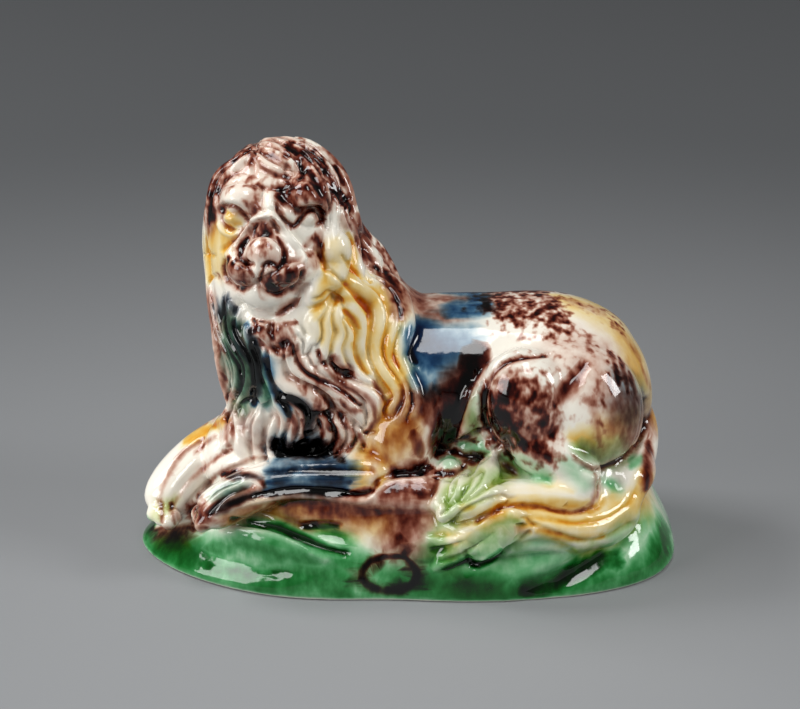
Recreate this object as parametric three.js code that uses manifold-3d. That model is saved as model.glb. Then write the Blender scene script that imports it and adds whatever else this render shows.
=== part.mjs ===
// A small recumbent lion on a rocky oval ground, moulded in one piece of lead-glazed earthenware.
// Units are millimetres, +Z is up, the lion lies along X facing -X and turns its head towards -Y.
// The origin is at the middle of the flat underside.

import * as THREE from "three";
import { mergeVertices } from "three/addons/utils/BufferGeometryUtils.js";
import Module from "manifold-3d";

// Driving dimensions of the whole moulding
const GROUND_LENGTH = 111.6;
const GROUND_DEPTH = 60;
const GROUND_RISE = 20.5;
const LION_HEIGHT = 69;

// The lion's forms are written in millimetres above its ledge, for a lion of this height, and grow with it.
const MODELLED_HEIGHT = 69;
const GROW = LION_HEIGHT / MODELLED_HEIGHT;
const LION_SETTLE = 0.5;
const LION_FORWARD = 1.5;

const wasm = await Module();
wasm.setup();

const { degToRad: radians, radToDeg: degrees, smoothstep, lerp, clamp } = THREE.MathUtils;
const vec = (x, y, z) => new THREE.Vector3(x, y, z);
const bell = (distance) => Math.exp(-distance * distance);

// Closed solids

// A three.js geometry as a manifold solid: only positions count, and shared corners become one.
function solid(geometry) {
  const bare = new THREE.BufferGeometry();
  bare.setAttribute("position", geometry.getAttribute("position"));
  bare.setIndex(geometry.getIndex());
  const merged = mergeVertices(bare, 1e-4);
  const mesh = new wasm.Mesh({
    numProp: 3,
    vertProperties: merged.attributes.position.array,
    triVerts: new Uint32Array(merged.index.array),
  });
  return new wasm.Manifold(mesh);
}

// A closed skin over rings of points, each ring with as many as the next, closed by a point at either end.
function skin(start, rings, end) {
  const sides = rings[0].length;
  const points = [start, ...rings.flat(), end];
  const at = (ring, side) => 1 + ring * sides + (side % sides);
  const last = points.length - 1;
  const faces = [];
  for (let side = 0; side < sides; side++) {
    faces.push(0, at(0, side + 1), at(0, side));
    for (let ring = 0; ring + 1 < rings.length; ring++) {
      faces.push(at(ring, side), at(ring, side + 1), at(ring + 1, side));
      faces.push(at(ring, side + 1), at(ring + 1, side + 1), at(ring + 1, side));
    }
    faces.push(last, at(rings.length - 1, side), at(rings.length - 1, side + 1));
  }
  const geometry = new THREE.BufferGeometry().setFromPoints(points);
  geometry.setIndex(faces);
  return geometry;
}

const turns = (sides) => Array.from({ length: sides }, (_, side) => (2 * Math.PI * side) / sides);
const ring = (sides, place) => turns(sides).map((turn) => place(turn));
const smooth = (points) => new THREE.CatmullRomCurve3(points, false, "catmullrom", 0.5);

// A rounded limb: an ellipse carried along a smooth path. Each station is [x, y, z, half width, half height].
// The half height lies along `up` as nearly as the path allows, and `up` may change along the path.
function limb(stations, { up = () => vec(0, 0, 1), sides = 7, steps = 7 } = {}) {
  const END_FULLNESS = 0.05;
  const path = smooth(stations.map(([x, y, z]) => vec(x, y, z)));
  const sizes = smooth(stations.map(([, , , wide, high]) => vec(wide, high, 0)));
  const length = path.getLength();
  const rings = [];
  for (let step = 1; step < steps; step++) {
    const t = (1 - Math.cos((Math.PI * step) / steps)) / 2;
    const size = sizes.getPoint(t);
    const reach = Math.min(0.5, Math.max(size.x, size.y) / length);
    const near = Math.min(1, Math.min(t, 1 - t) / reach);
    const round = Math.sqrt(Math.max(END_FULLNESS, 1 - (1 - near) ** 2));
    const along = path.getTangent(t);
    const across = vec(0, 0, 0).crossVectors(along, up(t)).normalize();
    const lift = vec(0, 0, 0).crossVectors(across, along);
    const centre = path.getPoint(t);
    rings.push(
      ring(sides, (turn) =>
        centre
          .clone()
          .addScaledVector(across, -size.x * round * Math.cos(turn))
          .addScaledVector(lift, size.y * round * Math.sin(turn)),
      ),
    );
  }
  return solid(skin(path.getPoint(0), rings, path.getPoint(1)));
}

// A lump of clay: an ellipsoid with its own half sizes, leaning about the Y axis by some degrees.
function lump([x, y, z], [wide, deep, high], lean = 0, sides = 12) {
  const geometry = new THREE.SphereGeometry(1, sides, Math.round(sides * 0.6));
  geometry.rotateX(Math.PI / 2);
  geometry.scale(wide, deep, high);
  geometry.rotateY(radians(lean));
  geometry.translate(x, y, z);
  return solid(geometry);
}

// The same stations on the far side of the lion.
const mirrored = (stations) => stations.map(([x, y, ...rest]) => [x, -y, ...rest]);

// The rocky ground

// How far the plan reaches at a turn, as a share of the half length and half depth: a blunt oval, squarer
// at the tail end, with one shallow bay in its near side.
function groundReach(turn) {
  const BLUNT = 2.42;
  const SQUARER_AT_TAIL = 0.53;
  const BAY_DEPTH = 0.05;
  const BAY_TURN = radians(-95);
  const BAY_WIDTH = radians(14);
  const power = BLUNT + SQUARER_AT_TAIL * Math.cos(turn);
  const oval = (Math.abs(Math.cos(turn)) ** power + Math.abs(Math.sin(turn)) ** power) ** (-1 / power);
  const fromBay = Math.atan2(Math.sin(turn - BAY_TURN), Math.cos(turn - BAY_TURN));
  return oval * (1 - BAY_DEPTH * bell(fromBay / BAY_WIDTH));
}

// Rings from the foot to the ledge: [share of the reach, share of the rise].
const GROUND_PROFILE = [
  [0.99, 0],
  [1.0, 0.08],
  [0.98, 0.22],
  [0.95, 0.38],
  [0.915, 0.56],
  [0.88, 0.72],
  [0.83, 0.87],
  [0.77, 0.97],
  [0.66, 1.0],
];

// Folds and furrows of rock in the near slope. Each runs from one [x, share of the rise] to another, with a
// half width in shares of the rise, and pushes the slope out (or in, where it is negative) by millimetres.
const ROCK_FOLDS = [
  { from: [-38, 0.93], to: [-4, 0.95], wide: 0.1, push: 1.2 },
  { from: [-37, 0.8], to: [-10, 0.6], wide: 0.07, push: -1.8 },
  { from: [-39, 0.64], to: [-16, 0.46], wide: 0.09, push: 1.2 },
  { from: [-45, 0.38], to: [-25, 0.26], wide: 0.1, push: -0.8 },
  { from: [46, 0.75], to: [20, 0.3], wide: 0.17, push: 2 },
  { from: [47, 0.5], to: [30, 0.12], wide: 0.08, push: -1.4 },
  { from: [22, 0.72], to: [-2, 0.5], wide: 0.15, push: 1.4 },
];
const FOLD_END = 4;

function foldPush(x, rise) {
  return ROCK_FOLDS.reduce((sum, { from, to, wide, push }) => {
    const [start, end] = [Math.min(from[0], to[0]), Math.max(from[0], to[0])];
    const begun = smoothstep(x, start - FOLD_END, start + FOLD_END);
    const ended = smoothstep(x, end - FOLD_END, end + FOLD_END);
    const line = lerp(from[1], to[1], (x - from[0]) / (to[0] - from[0]));
    return sum + push * begun * (1 - ended) * bell((rise - line) / wide);
  }, 0);
}

// The ledge falls away under the forepaws, where the ground is lowest. Its near lip steps up by the elbow.
function groundHeight(x, nearness) {
  const LOWEST = 0.42;
  const LIP = 3.4;
  const fall = smoothstep(-x / (GROUND_LENGTH / 2), 0.5, 1.0);
  const lip = smoothstep(x, -8, -1) * (1 - smoothstep(x, 12, 26)) * nearness;
  return GROUND_RISE * (1 - (1 - LOWEST) * fall) + LIP * lip;
}

function ground() {
  const GROUND_SIDES = 60;
  const LIP_INSIDE = 0.7;
  const rings = GROUND_PROFILE.map(([reach, rise]) =>
    ring(GROUND_SIDES, (turn) => {
      const out = vec((GROUND_LENGTH / 2) * Math.cos(turn), (GROUND_DEPTH / 2) * Math.sin(turn), 0);
      const place = out.clone().multiplyScalar(groundReach(turn) * reach);
      const nearness = smoothstep(-Math.sin(turn), 0, 0.5);
      const height = groundHeight(place.x, nearness * smoothstep(reach, LIP_INSIDE, LIP_INSIDE + 0.1)) * rise;
      place.addScaledVector(out.normalize(), foldPush(place.x, rise) * nearness);
      return place.setZ(height);
    }),
  );
  return solid(skin(vec(0, 0, 0), rings, vec(0, 0, GROUND_RISE)));
}

// The lion's body

const TRUNK = [
  [-33, 0, 12, 9, 9],
  [-24, 0, 15, 14, 13],
  [-12, 0, 17, 16.5, 16.5],
  [4, 0.5, 17, 16, 17.4],
  [16, 1, 17, 16.5, 17.4],
  [30, 1, 16, 19, 18],
  [40, 1, 12, 17, 15],
  [49, 1, 7, 9, 8],
];

// Clay pressed in under the belly and limbs and under the tail, so that no daylight shows beneath.
const BED = [
  [-38, -3, -3, 13, 6],
  [-30, -3, -1, 18, 7],
  [-12, -1, 0, 22, 7],
  [8, -1, 0, 24, 7.2],
  [28, -1, -0.5, 25.5, 7.5],
  [41, -1.5, -1, 21, 8],
  [49, -3, -2, 12, 6],
];

const TAIL_BED = [
  [46, -13, -4, 4, 5],
  [38, -20, -6, 5, 6],
  [27, -23.5, -4, 5, 6.5],
  [16, -24, -4.5, 5, 6.5],
  [5, -22, -5, 5, 6],
];

const NAPE = [
  [-17, 0, 44, 12, 10],
  [-9, 0.5, 32, 13, 10],
  [-1, 1, 26, 14, 9],
  [10, 1, 22, 13, 9],
];

const UPPER_ARM = [
  [1, -6, 29, 6, 7],
  [1, -10.5, 18, 6.5, 8],
  [-1.5, -14, 9, 5.8, 7.5],
  [-3.5, -15.5, 2.5, 4.5, 5],
];

// A fold of skin down the flank, just ahead of the near thigh.
const FLANK_FOLD = [
  [16, -14, 27, 2, 2.4],
  [12, -15, 20, 2.2, 2.6],
  [11.5, -15.5, 14, 2.4, 2.6],
  [15, -17, 8, 2, 2],
];

const NEAR_FORELEG = [
  [-2, -17, 4.2, 5, 5],
  [-13, -18, 3.2, 4.4, 4.6],
  [-24, -18.5, 2.8, 4.4, 4.6],
  [-31, -19.5, 1, 5, 4.6],
  [-37, -20.3, -2, 4.9, 4.4],
  [-41, -20.4, -4.6, 4.3, 3.6],
];

const FAR_FORELEG = [
  [-27, 5, 6, 7.5, 6.5],
  [-35.5, 4, 2.5, 6, 5.4],
  [-43, 1, -1.5, 5.8, 5.2],
  [-48, -4, -5.5, 5.6, 4.8],
  [-49, -9.5, -9, 5.2, 4],
];

const SHANK = [
  [20, -16.5, 13, 6, 6],
  [28, -18.6, 9, 5.6, 6.2],
  [34, -20.6, 5, 3.8, 4.8],
  [36.6, -21.6, 2.6, 3, 3.8],
];

const HIND_FOOT = [
  [37, -21.8, 2.2, 3.2, 3.8],
  [29, -23.2, 2, 3.4, 3.2],
  [20, -24, 2.2, 3.6, 3],
  [12, -24.3, 1.6, 4, 3.4],
  [8, -24.5, 0, 3.8, 3],
];

// The thick root of the tail, pressed down onto the ground behind the haunch.
const TAIL_ROOT = [
  [45, -3, 4, 6, 7],
  [43, -11, 0.5, 7, 5.5],
  [38, -17, -1.5, 5, 4],
];

const TAIL = [
  [43, 6, 14, 4, 4],
  [47, 0, 6, 4.6, 4.8],
  [44.6, -9, 0.4, 5.2, 5],
  [42, -17, -3.4, 4.2, 4.2],
  [36.5, -23, -5, 3.3, 3.5],
  [28, -26.4, -3.4, 2.9, 3],
  [20, -27.2, -1.4, 2.6, 2.7],
  [14, -27, -2, 2.2, 2],
];

// Toes fan from the end of a paw: [paw end, heading in degrees, dip].
const PAWS = [
  [[-40.5, -20.6, -4.6], 192, 3.2],
  [[-49.5, -10.5, -9.2], 222, 3],
  [[7.5, -24.8, -0.5], 188, 3],
  [[7.5, 24.8, -0.5], 172, 3],
];

function toes([[x, y, z], heading, dip]) {
  const TOES = 3;
  const SPREAD = 2.7;
  const LENGTH = 3.6;
  const HALF_WIDTH = 1.8;
  const ahead = vec(Math.cos(radians(heading)), Math.sin(radians(heading)), 0);
  const aside = vec(-ahead.y, ahead.x, 0);
  return Array.from({ length: TOES }, (_, toe) => {
    const side = (toe - (TOES - 1) / 2) * SPREAD;
    const root = vec(x, y, z + 1).addScaledVector(aside, side * 0.8).addScaledVector(ahead, -LENGTH * 0.6);
    const tip = vec(x, y, z - dip * 0.5).addScaledVector(aside, side).addScaledVector(ahead, LENGTH * 0.5);
    const knuckle = root.clone().lerp(tip, 0.6).add(vec(0, 0, 0.9));
    const stations = [root, knuckle, tip].map((p) => [p.x, p.y, p.z, HALF_WIDTH, HALF_WIDTH]);
    return limb(stations, { sides: 6, steps: 4 });
  });
}

// A leaf of fur on the near side: it swells from its root and comes to a point.
function leaf(root, tip, wide) {
  const ARCH = vec(0, -0.8, 0.6);
  const middle = root.clone().lerp(tip, 0.45).add(ARCH);
  const stations = [
    [...root, wide * 0.6, wide * 0.45],
    [...middle, wide, wide * 0.6],
    [...tip, wide * 0.4, wide * 0.25],
  ];
  return limb(stations, { up: () => vec(0, -1, 0.4), sides: 6, steps: 5 });
}

const TUFT_ROOT = vec(15, -26, -3);
const TUFT_TIPS = [
  [18, -27, -8.5],
  [12.5, -27, -11.5],
  [6.5, -26.6, -13],
  [2, -26, -11.5],
  [5, -25, -6.5],
];
const BELLY_FUR_ROOT = vec(18, -17.5, 5);
const BELLY_FUR_TIPS = [
  [9.5, -16.5, 12],
  [6, -18, 7],
  [5, -20, 2.6],
];

function tailTuft() {
  return TUFT_TIPS.map((tip) => leaf(TUFT_ROOT, vec(...tip), 3));
}

function bellyFur() {
  return BELLY_FUR_TIPS.map((tip) => leaf(BELLY_FUR_ROOT, vec(...tip), 2.6));
}

function body() {
  const sideways = () => vec(1, 0, 0);
  return [
    limb(TRUNK, { sides: 22, steps: 15 }),
    limb(BED, { sides: 12, steps: 8 }),
    limb(TAIL_BED, { sides: 6, steps: 6 }),
    limb(NAPE, { sides: 10 }),
    lump([31, -10.5, 14], [16.5, 11.5, 15.8], 0, 18),
    lump([31, 12, 13], [16.5, 10.5, 15.5], 0, 14),
    lump([24.4, -15.5, 18], [9.4, 7.6, 12], -20, 18),
    lump([24, 17, 17], [9.2, 6, 11.6], -18, 10),
    limb(FLANK_FOLD, { up: () => vec(0, -1, 0), sides: 5 }),
    lump([-30, -2, 1], [12, 14, 11], 0, 12),
    limb(UPPER_ARM, { up: sideways, sides: 10 }),
    limb(mirrored(UPPER_ARM), { up: sideways }),
    limb(NEAR_FORELEG),
    limb(FAR_FORELEG),
    limb(SHANK),
    limb(mirrored(SHANK)),
    limb(HIND_FOOT),
    limb(mirrored(HIND_FOOT)),
    limb(TAIL_ROOT),
    limb(TAIL, { steps: 16 }),
    ...PAWS.flatMap(toes),
    ...tailTuft(),
    ...bellyFur(),
  ];
}

// The mane

// Level sections of the neck and crown under the mane: [height, middle x, middle y, half length, half depth].
const NECK = [
  [1, -20.7, -0.5, 14, 14.5],
  [9, -21.3, -0.5, 15.4, 16],
  [16, -20.4, -0.5, 17, 16.6],
  [26, -20.3, -1, 18.2, 16.8],
  [34, -20.6, -1, 18.6, 16.4],
  [43, -22.6, -1, 17, 15.4],
  [47.5, -24.6, -1.2, 15, 14.8],
  [53, -25.5, -1.5, 13.8, 14.1],
  [59.5, -25.7, -2, 12.4, 13],
  [65, -25.2, -2, 9, 9.6],
  [67.8, -25.3, -2, 3.8, 4.4],
];
const neckMiddle = smooth(NECK.map(([z, x, y]) => vec(x, y, z)));
const neckHalf = smooth(NECK.map(([, , , long, deep]) => vec(long, deep, 0)));

// The share of the way up the stations at which the neck reaches a height.
function neckShare(height) {
  const above = Math.max(1, NECK.findIndex(([z]) => z >= height));
  const [low, high] = [NECK[above - 1][0], NECK[above][0]];
  return (above - 1 + (height - low) / (high - low)) / (NECK.length - 1);
}

// A point of the neck's skin and the way out of it, `round` degrees from the near side, below 0 at the front.
function neckSkin(height, round) {
  const middle = neckMiddle.getPoint(neckShare(height));
  const half = neckHalf.getPoint(neckShare(height));
  const way = vec(Math.sin(radians(round)), -Math.cos(radians(round)), 0);
  const point = vec(middle.x + half.x * way.x, middle.y + half.y * way.y, middle.z);
  return { point, out: vec(way.x / half.x, way.y / half.y, 0).normalize(), radius: (half.x + half.y) / 2 };
}

// All locks share one wave, so that they sweep together: how far a lock sways towards the tail at a height.
const WAVE_LENGTH = 22;
const WAVE_SWAY = 2.2;
const WAVE_CREST = 16;

function sway(height, round) {
  const towardsTail = clamp(2 * Math.cos(radians(round)), -1, 1);
  return towardsTail * WAVE_SWAY * Math.cos((2 * Math.PI * (height - WAVE_CREST)) / WAVE_LENGTH);
}

// The mane is one skin whose columns of corners follow the locks: each lock has a furrow and two crest lines.
const LOCKS = 18;
const COLUMNS_TO_A_LOCK = 3;
const FURROW = 1.4;
const CREST = 0.7;
const UPPER_TIER = 1.2;
const HEM_INSET = 2.6;

// How proud of the neck a column of the mane is at a height. Shorter locks lie over the long ones, except
// under the chin, and the long ones end in tips at the hem.
function maneProud(height, column, round) {
  const lockNumber = Math.floor(column / COLUMNS_TO_A_LOCK);
  const tip = 8 + 2 * Math.sin(2.4 * lockNumber);
  const upperTip = 25 + 4 * Math.sin(1.7 * lockNumber);
  const underChin = round > -65 && round < 30;
  const shorter = smoothstep(height, upperTip - 2, upperTip + 2) * (1 - smoothstep(height, 46, 60));
  const upper = underChin ? 0 : shorter;
  const crest = column % COLUMNS_TO_A_LOCK === 0 ? -FURROW : CREST + 0.3 * Math.sin(2.4 * lockNumber);
  const carved = crest * (1 - smoothstep(height, 58, 68)) + UPPER_TIER * upper;
  return lerp(-HEM_INSET, carved, smoothstep(height, tip - 2, tip + 2));
}

function mane() {
  const STEPS = 20;
  const COLUMNS = LOCKS * COLUMNS_TO_A_LOCK;
  const lowest = NECK[0][0];
  const highest = NECK[NECK.length - 1][0];
  const rings = [];
  for (let step = 0; step <= STEPS; step++) {
    const height = lerp(lowest, highest, step / STEPS);
    const corners = [];
    for (let column = 0; column < COLUMNS; column++) {
      const round = -180 + (360 * column) / COLUMNS;
      const swung = round + degrees(sway(height, round) / neckSkin(height, round).radius);
      const { point, out } = neckSkin(height, swung);
      corners.push(point.addScaledVector(out, maneProud(height, column, round)));
    }
    rings.push(corners);
  }
  return solid(skin(neckMiddle.getPoint(0), rings, neckMiddle.getPoint(1).add(vec(0, 0, 0.6))));
}

// The head, in its own frame: x to the viewer's right, y up, z out of the face.
const HEAD_PLACE = vec(-23.4, -3.6, 54);
const HEAD_YAW = -17;
const HEAD_PITCH = 8;
const HEAD_ROLL = 6;

function headMatrix() {
  const yaw = radians(HEAD_YAW);
  const pitch = radians(HEAD_PITCH);
  const level = vec(Math.sin(yaw), -Math.cos(yaw), 0);
  const out = level.multiplyScalar(Math.cos(pitch)).add(vec(0, 0, Math.sin(pitch)));
  const right = vec(Math.cos(yaw), Math.sin(yaw), 0);
  const up = vec(0, 0, 0).crossVectors(out, right);
  const frame = new THREE.Matrix4().makeBasis(right, up, out);
  frame.multiply(new THREE.Matrix4().makeRotationZ(radians(HEAD_ROLL)));
  return frame.setPosition(HEAD_PLACE);
}

// The face is half an egg with soft swells and hollows pushed into it: [x, y, half width, half height, push].
const FACE_HALF = vec(12.6, 15.5, 10.5);
const FACE_MIDDLE = vec(-1, -1, 2);
const FACE_SWELLS = [
  [0, 9.5, 7, 5, 1.6],
  [-6.4, 5.4, 3.8, 2.3, 2.4],
  [7.6, 5.6, 3.8, 2.3, 2.4],
  [-6.6, 1.0, 3.2, 2.4, -2.4],
  [8.2, 1.0, 3.2, 2.4, -2.4],
  [-6.6, 1.0, 1.9, 1.4, 2.6],
  [8.4, 1.0, 1.9, 1.4, 2.6],
  [1.1, 1.0, 2.6, 5.0, 2.6],
  [0.7, -4.7, 4.4, 3.3, 4.8],
  [-0.6, -9.0, 8.4, 4.8, 4.6],
  [-5.4, -8.6, 3.6, 3.2, 3.2],
  [4.8, -8.6, 3.6, 3.2, 3.2],
  [-0.4, -10.2, 1.0, 2.6, -1.8],
  [-1.2, -12.8, 7.0, 1.0, -2.0],
  [-1.6, -16.0, 6.0, 3.0, 7.0],
  [-9.6, -4.0, 3.2, 4.0, 2.2],
  [9.4, -4.2, 3.2, 4.0, 2.2],
];

function face() {
  const SIDES = 26;
  const RINGS = 14;
  const DENSER_AT_NOSE = 1.25;
  const place = (fromNose, turn) => {
    const point = vec(Math.cos(turn), Math.sin(turn), 0).multiplyScalar(Math.sin(fromNose));
    point.z = Math.cos(fromNose);
    const front = smoothstep(point.z, 0.05, 0.5);
    point.multiply(FACE_HALF).add(FACE_MIDDLE);
    for (const [x, y, wide, high, push] of FACE_SWELLS) {
      point.z += push * front * bell(Math.hypot((point.x - x) / wide, (point.y - y) / high));
    }
    return point.applyMatrix4(headMatrix());
  };
  const rings = [];
  for (let step = RINGS - 1; step > 0; step--) {
    const fromNose = Math.PI * (step / RINGS) ** DENSER_AT_NOSE;
    rings.push(ring(SIDES, (turn) => place(fromNose, turn)));
  }
  return solid(skin(place(Math.PI, 0), rings, place(0, 0)));
}

// Bands of hair part over the forehead and frame the face: stations as a limb's, in the head's frame.
const HAIR_BANDS = [
  [[-1, 12.2, 4.5, 2.2, 1.4], [-7, 11, 8, 2.8, 1.8], [-11, 4, 7, 2.8, 1.8], [-12.5, -6, 4, 2.8, 1.8]],
  [[0, 12.2, 4.5, 2.2, 1.4], [6.5, 11.5, 7.5, 2.8, 1.8], [12, 5, 6, 2.8, 1.8], [13, -6, 3, 2.8, 1.8]],
];

function hairBand(stations) {
  const inPlace = stations.map(([x, y, z, ...half]) => [...vec(x, y, z).applyMatrix4(headMatrix()), ...half]);
  const outwards = vec(0, 0, 0).setFromMatrixColumn(headMatrix(), 2);
  return limb(inPlace, { up: () => outwards, sides: 6, steps: 7 });
}

// An ellipsoid in the head's frame.
function feature([x, y, z], [wide, high, deep], sides = 10) {
  const geometry = new THREE.SphereGeometry(1, sides, Math.round(sides * 0.6));
  geometry.scale(wide, high, deep);
  geometry.translate(x, y, z);
  geometry.applyMatrix4(headMatrix());
  return solid(geometry);
}

function head() {
  return [
    face(),
    feature([0.7, -4.8, 15.8], [4.4, 3.4, 3.4], 10),
    feature([1.2, -21.6, 11], [4.6, 4, 3.6], 8),
    feature([-1.5, -24.5, 10], [3.6, 3.6, 3.4], 8),
    feature([12.5, 0.5, -1.5], [2, 3.6, 2.6], 8),
    feature([-14, 0.5, -1.5], [2, 3.6, 2.6], 8),
    ...HAIR_BANDS.map(hairBand),
  ];
}

// The whole moulding

const asOne = (solids) => solids.reduce((whole, next) => whole.add(next));

// A solid as a three.js geometry with its underside at z = 0 and its middle over the origin.
function centred(whole) {
  const { vertProperties, triVerts } = whole.getMesh();
  const geometry = new THREE.BufferGeometry();
  geometry.setAttribute("position", new THREE.BufferAttribute(new Float32Array(vertProperties), 3));
  geometry.setIndex(new THREE.BufferAttribute(new Uint32Array(triVerts), 1));
  geometry.computeBoundingBox();
  const middle = geometry.boundingBox.getCenter(vec(0, 0, 0));
  geometry.translate(-middle.x, -middle.y, -geometry.boundingBox.min.z);
  geometry.computeVertexNormals();
  return geometry;
}

const lion = asOne([...body(), mane(), ...head()])
  .scale([GROW, GROW, GROW])
  .translate([0, -LION_FORWARD, GROUND_RISE - LION_SETTLE]);

const glazedEarthenware = new THREE.MeshStandardMaterial({ color: 0xe9dfca, roughness: 0.12, metalness: 0 });
const figure = new THREE.Mesh(centred(ground().add(lion)), glazedEarthenware);
figure.name = "lion_on_rocky_ground";

const part = new THREE.Group();
part.add(figure);
export default part;
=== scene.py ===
"""A recumbent lion on its rocky ground, moulded in one piece of white earthenware and dressed with coloured
glazes.

Forms are worked out in millimetres, with +Z up, the lion along X facing -X and its head turned towards -Y.
They are put together as one skin, softened as a thin-walled pressing is, carved, and then given the glaze
that each place of the skin carries, with some painted shade in its dark brown. Metres come last, when the
mesh is made.
"""

from functools import partial

import bpy
import numpy as np
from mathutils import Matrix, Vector
from mathutils.bvhtree import BVHTree


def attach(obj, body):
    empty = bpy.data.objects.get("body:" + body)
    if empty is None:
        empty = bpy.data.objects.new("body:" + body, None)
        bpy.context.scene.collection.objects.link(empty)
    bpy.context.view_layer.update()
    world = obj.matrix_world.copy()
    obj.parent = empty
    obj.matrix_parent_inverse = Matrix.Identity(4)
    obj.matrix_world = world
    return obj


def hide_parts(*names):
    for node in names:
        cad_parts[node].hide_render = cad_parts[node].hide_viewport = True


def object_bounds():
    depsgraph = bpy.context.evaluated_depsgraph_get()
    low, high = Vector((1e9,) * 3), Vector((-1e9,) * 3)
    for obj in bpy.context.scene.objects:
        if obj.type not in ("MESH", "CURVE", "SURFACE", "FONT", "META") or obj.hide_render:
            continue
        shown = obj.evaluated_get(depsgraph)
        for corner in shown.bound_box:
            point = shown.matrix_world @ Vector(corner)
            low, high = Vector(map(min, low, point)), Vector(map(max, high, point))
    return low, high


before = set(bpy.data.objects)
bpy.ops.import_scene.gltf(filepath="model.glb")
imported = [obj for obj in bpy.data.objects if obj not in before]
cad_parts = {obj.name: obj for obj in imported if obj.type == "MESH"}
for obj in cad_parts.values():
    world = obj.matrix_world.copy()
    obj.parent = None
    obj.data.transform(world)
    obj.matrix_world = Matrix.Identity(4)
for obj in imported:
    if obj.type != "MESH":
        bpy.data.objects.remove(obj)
CAD_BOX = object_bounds()

MM = 0.001
UP = np.array([0.0, 0.0, 1.0])

# The picture's viewpoint: what it looks at, how far off and how steeply, with its size and focal length in
# pixels
LOOK_AT = np.array([-1.45, -1.5, 42.5])
STAND_OFF = 480.0
LOOK_DOWN = np.radians(22.0)
PICTURE = np.array([800.0, 709.0])
FOCAL = 2366.0

# The lion lies on a ledge of the ground: forms of the lion are measured from the ledge
GROUND_LENGTH = 111.6
GROUND_DEPTH = 60.0
GROUND_RISE = 20.5
FOOT_SHIFT = np.array([0.0, CAD_BOX[1][1] / MM - GROUND_DEPTH / 2, 0.0])
LION_PLACE = np.array([0.0, -1.5, GROUND_RISE - 0.5])

# How finely the clay is worked: the edge of a facet in millimetres
FACET = 0.36
# A crease between locks: its depth in millimetres, and its width in half widths of a lock
CREASE_DEPTH = 0.8
CREASE_WIDTH = 0.4
# How far one softening moves a corner on its way to its neighbours' mean, and how many flatten the skin to
# what lies about it
SOFTENING = 0.5
FLATTENING = 24
# The most facets that the finished skin may have, and its clearance inside the solid's box in millimetres
MOST_FACETS = 192_000
HAIR = 0.001


# Small sums


def unit(rows):
    """Rows scaled to length one."""
    return rows / np.maximum(np.linalg.norm(rows, axis=-1, keepdims=True), 1e-9)


def step_up(value, low, high):
    """Nought below low, one above high, eased between with 3s^2 - 2s^3."""
    s = np.clip((np.asarray(value, float) - low) / (high - low), 0, 1)
    return s * s * (3 - 2 * s)


def between(value, rise, fall):
    """One from the end of a rise to the start of a fall, each eased from its first number to its second."""
    return step_up(value, *rise) * (1 - step_up(value, *fall))


def bell(distance):
    return np.exp(-distance * distance)


def smooth_run(points, shares):
    """Points at shares of the way along a smooth run: each span is a cubic whose slope at a point is half
    the step between the points on either side of it."""
    points = np.asarray(points, float)
    padded = np.vstack([2 * points[0] - points[1], points, 2 * points[-1] - points[-2]])
    place = np.clip(shares, 0, 1) * (len(points) - 1)
    span = np.minimum(place.astype(int), len(points) - 2)
    t = (place - span)[:, None]
    a, b, c, d = (padded[span + k] for k in range(4))
    return 0.5 * (2 * b + (c - a) * t + (2 * a - 5 * b + 4 * c - d) * t**2 + (3 * b - a - 3 * c + d) * t**3)


def runs(settings, rows):
    """Rows of numbers, each as its first few settings and the run of pixels, across and down, that follows
    them."""
    return [(*row[:settings], np.reshape(row[settings:], (-1, 2)).astype(float)) for row in rows]


# The picture's view


def view_axes():
    """Across, up and towards the viewer, as the picture sees them."""
    towards = np.array([0.0, -np.cos(LOOK_DOWN), np.sin(LOOK_DOWN)])
    across = np.array([1.0, 0.0, 0.0])
    return across, np.cross(towards, across), towards


def pictured(points):
    """Where points fall on the picture, in pixels from its top left: their offsets across and up, over
    their distance from the viewer, times the focal length."""
    across, up, towards = view_axes()
    off = points - LOOK_AT
    far = STAND_OFF - off @ towards
    middle = PICTURE / 2
    return np.stack([middle[0] + FOCAL * (off @ across) / far, middle[1] - FOCAL * (off @ up) / far], -1)


def viewer():
    return LOOK_AT + STAND_OFF * view_axes()[2]


def sight_line(pixel):
    """Direction from the viewer through a pixel of the picture."""
    across, up, towards = view_axes()
    s = (np.asarray(pixel, float) - PICTURE / 2) / FOCAL
    return unit(s[0] * across - s[1] * up - towards)


# Closed forms of clay, each as its corners and triangles


def skin(start, rings, end):
    """Closed skin over rings of points, fanned to a point at either end."""
    count, around = rings.shape[:2]
    corners = np.vstack([start, rings.reshape(-1, 3), end])
    side = np.arange(around)
    following = (side + 1) % around
    low = 1 + around * np.arange(count - 1)[:, None]
    high = low + around
    quads = np.stack([low + side, low + following, high + following, high + side], -1).reshape(-1, 4)
    last = 1 + around * (count - 1)
    fans = [
        np.stack([np.zeros_like(side), 1 + following, 1 + side], -1),
        np.stack([np.full_like(side, len(corners) - 1), last + side, last + following], -1),
    ]
    return corners, np.vstack([quads[:, [0, 1, 2]], quads[:, [0, 2, 3]], *fans])


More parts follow.
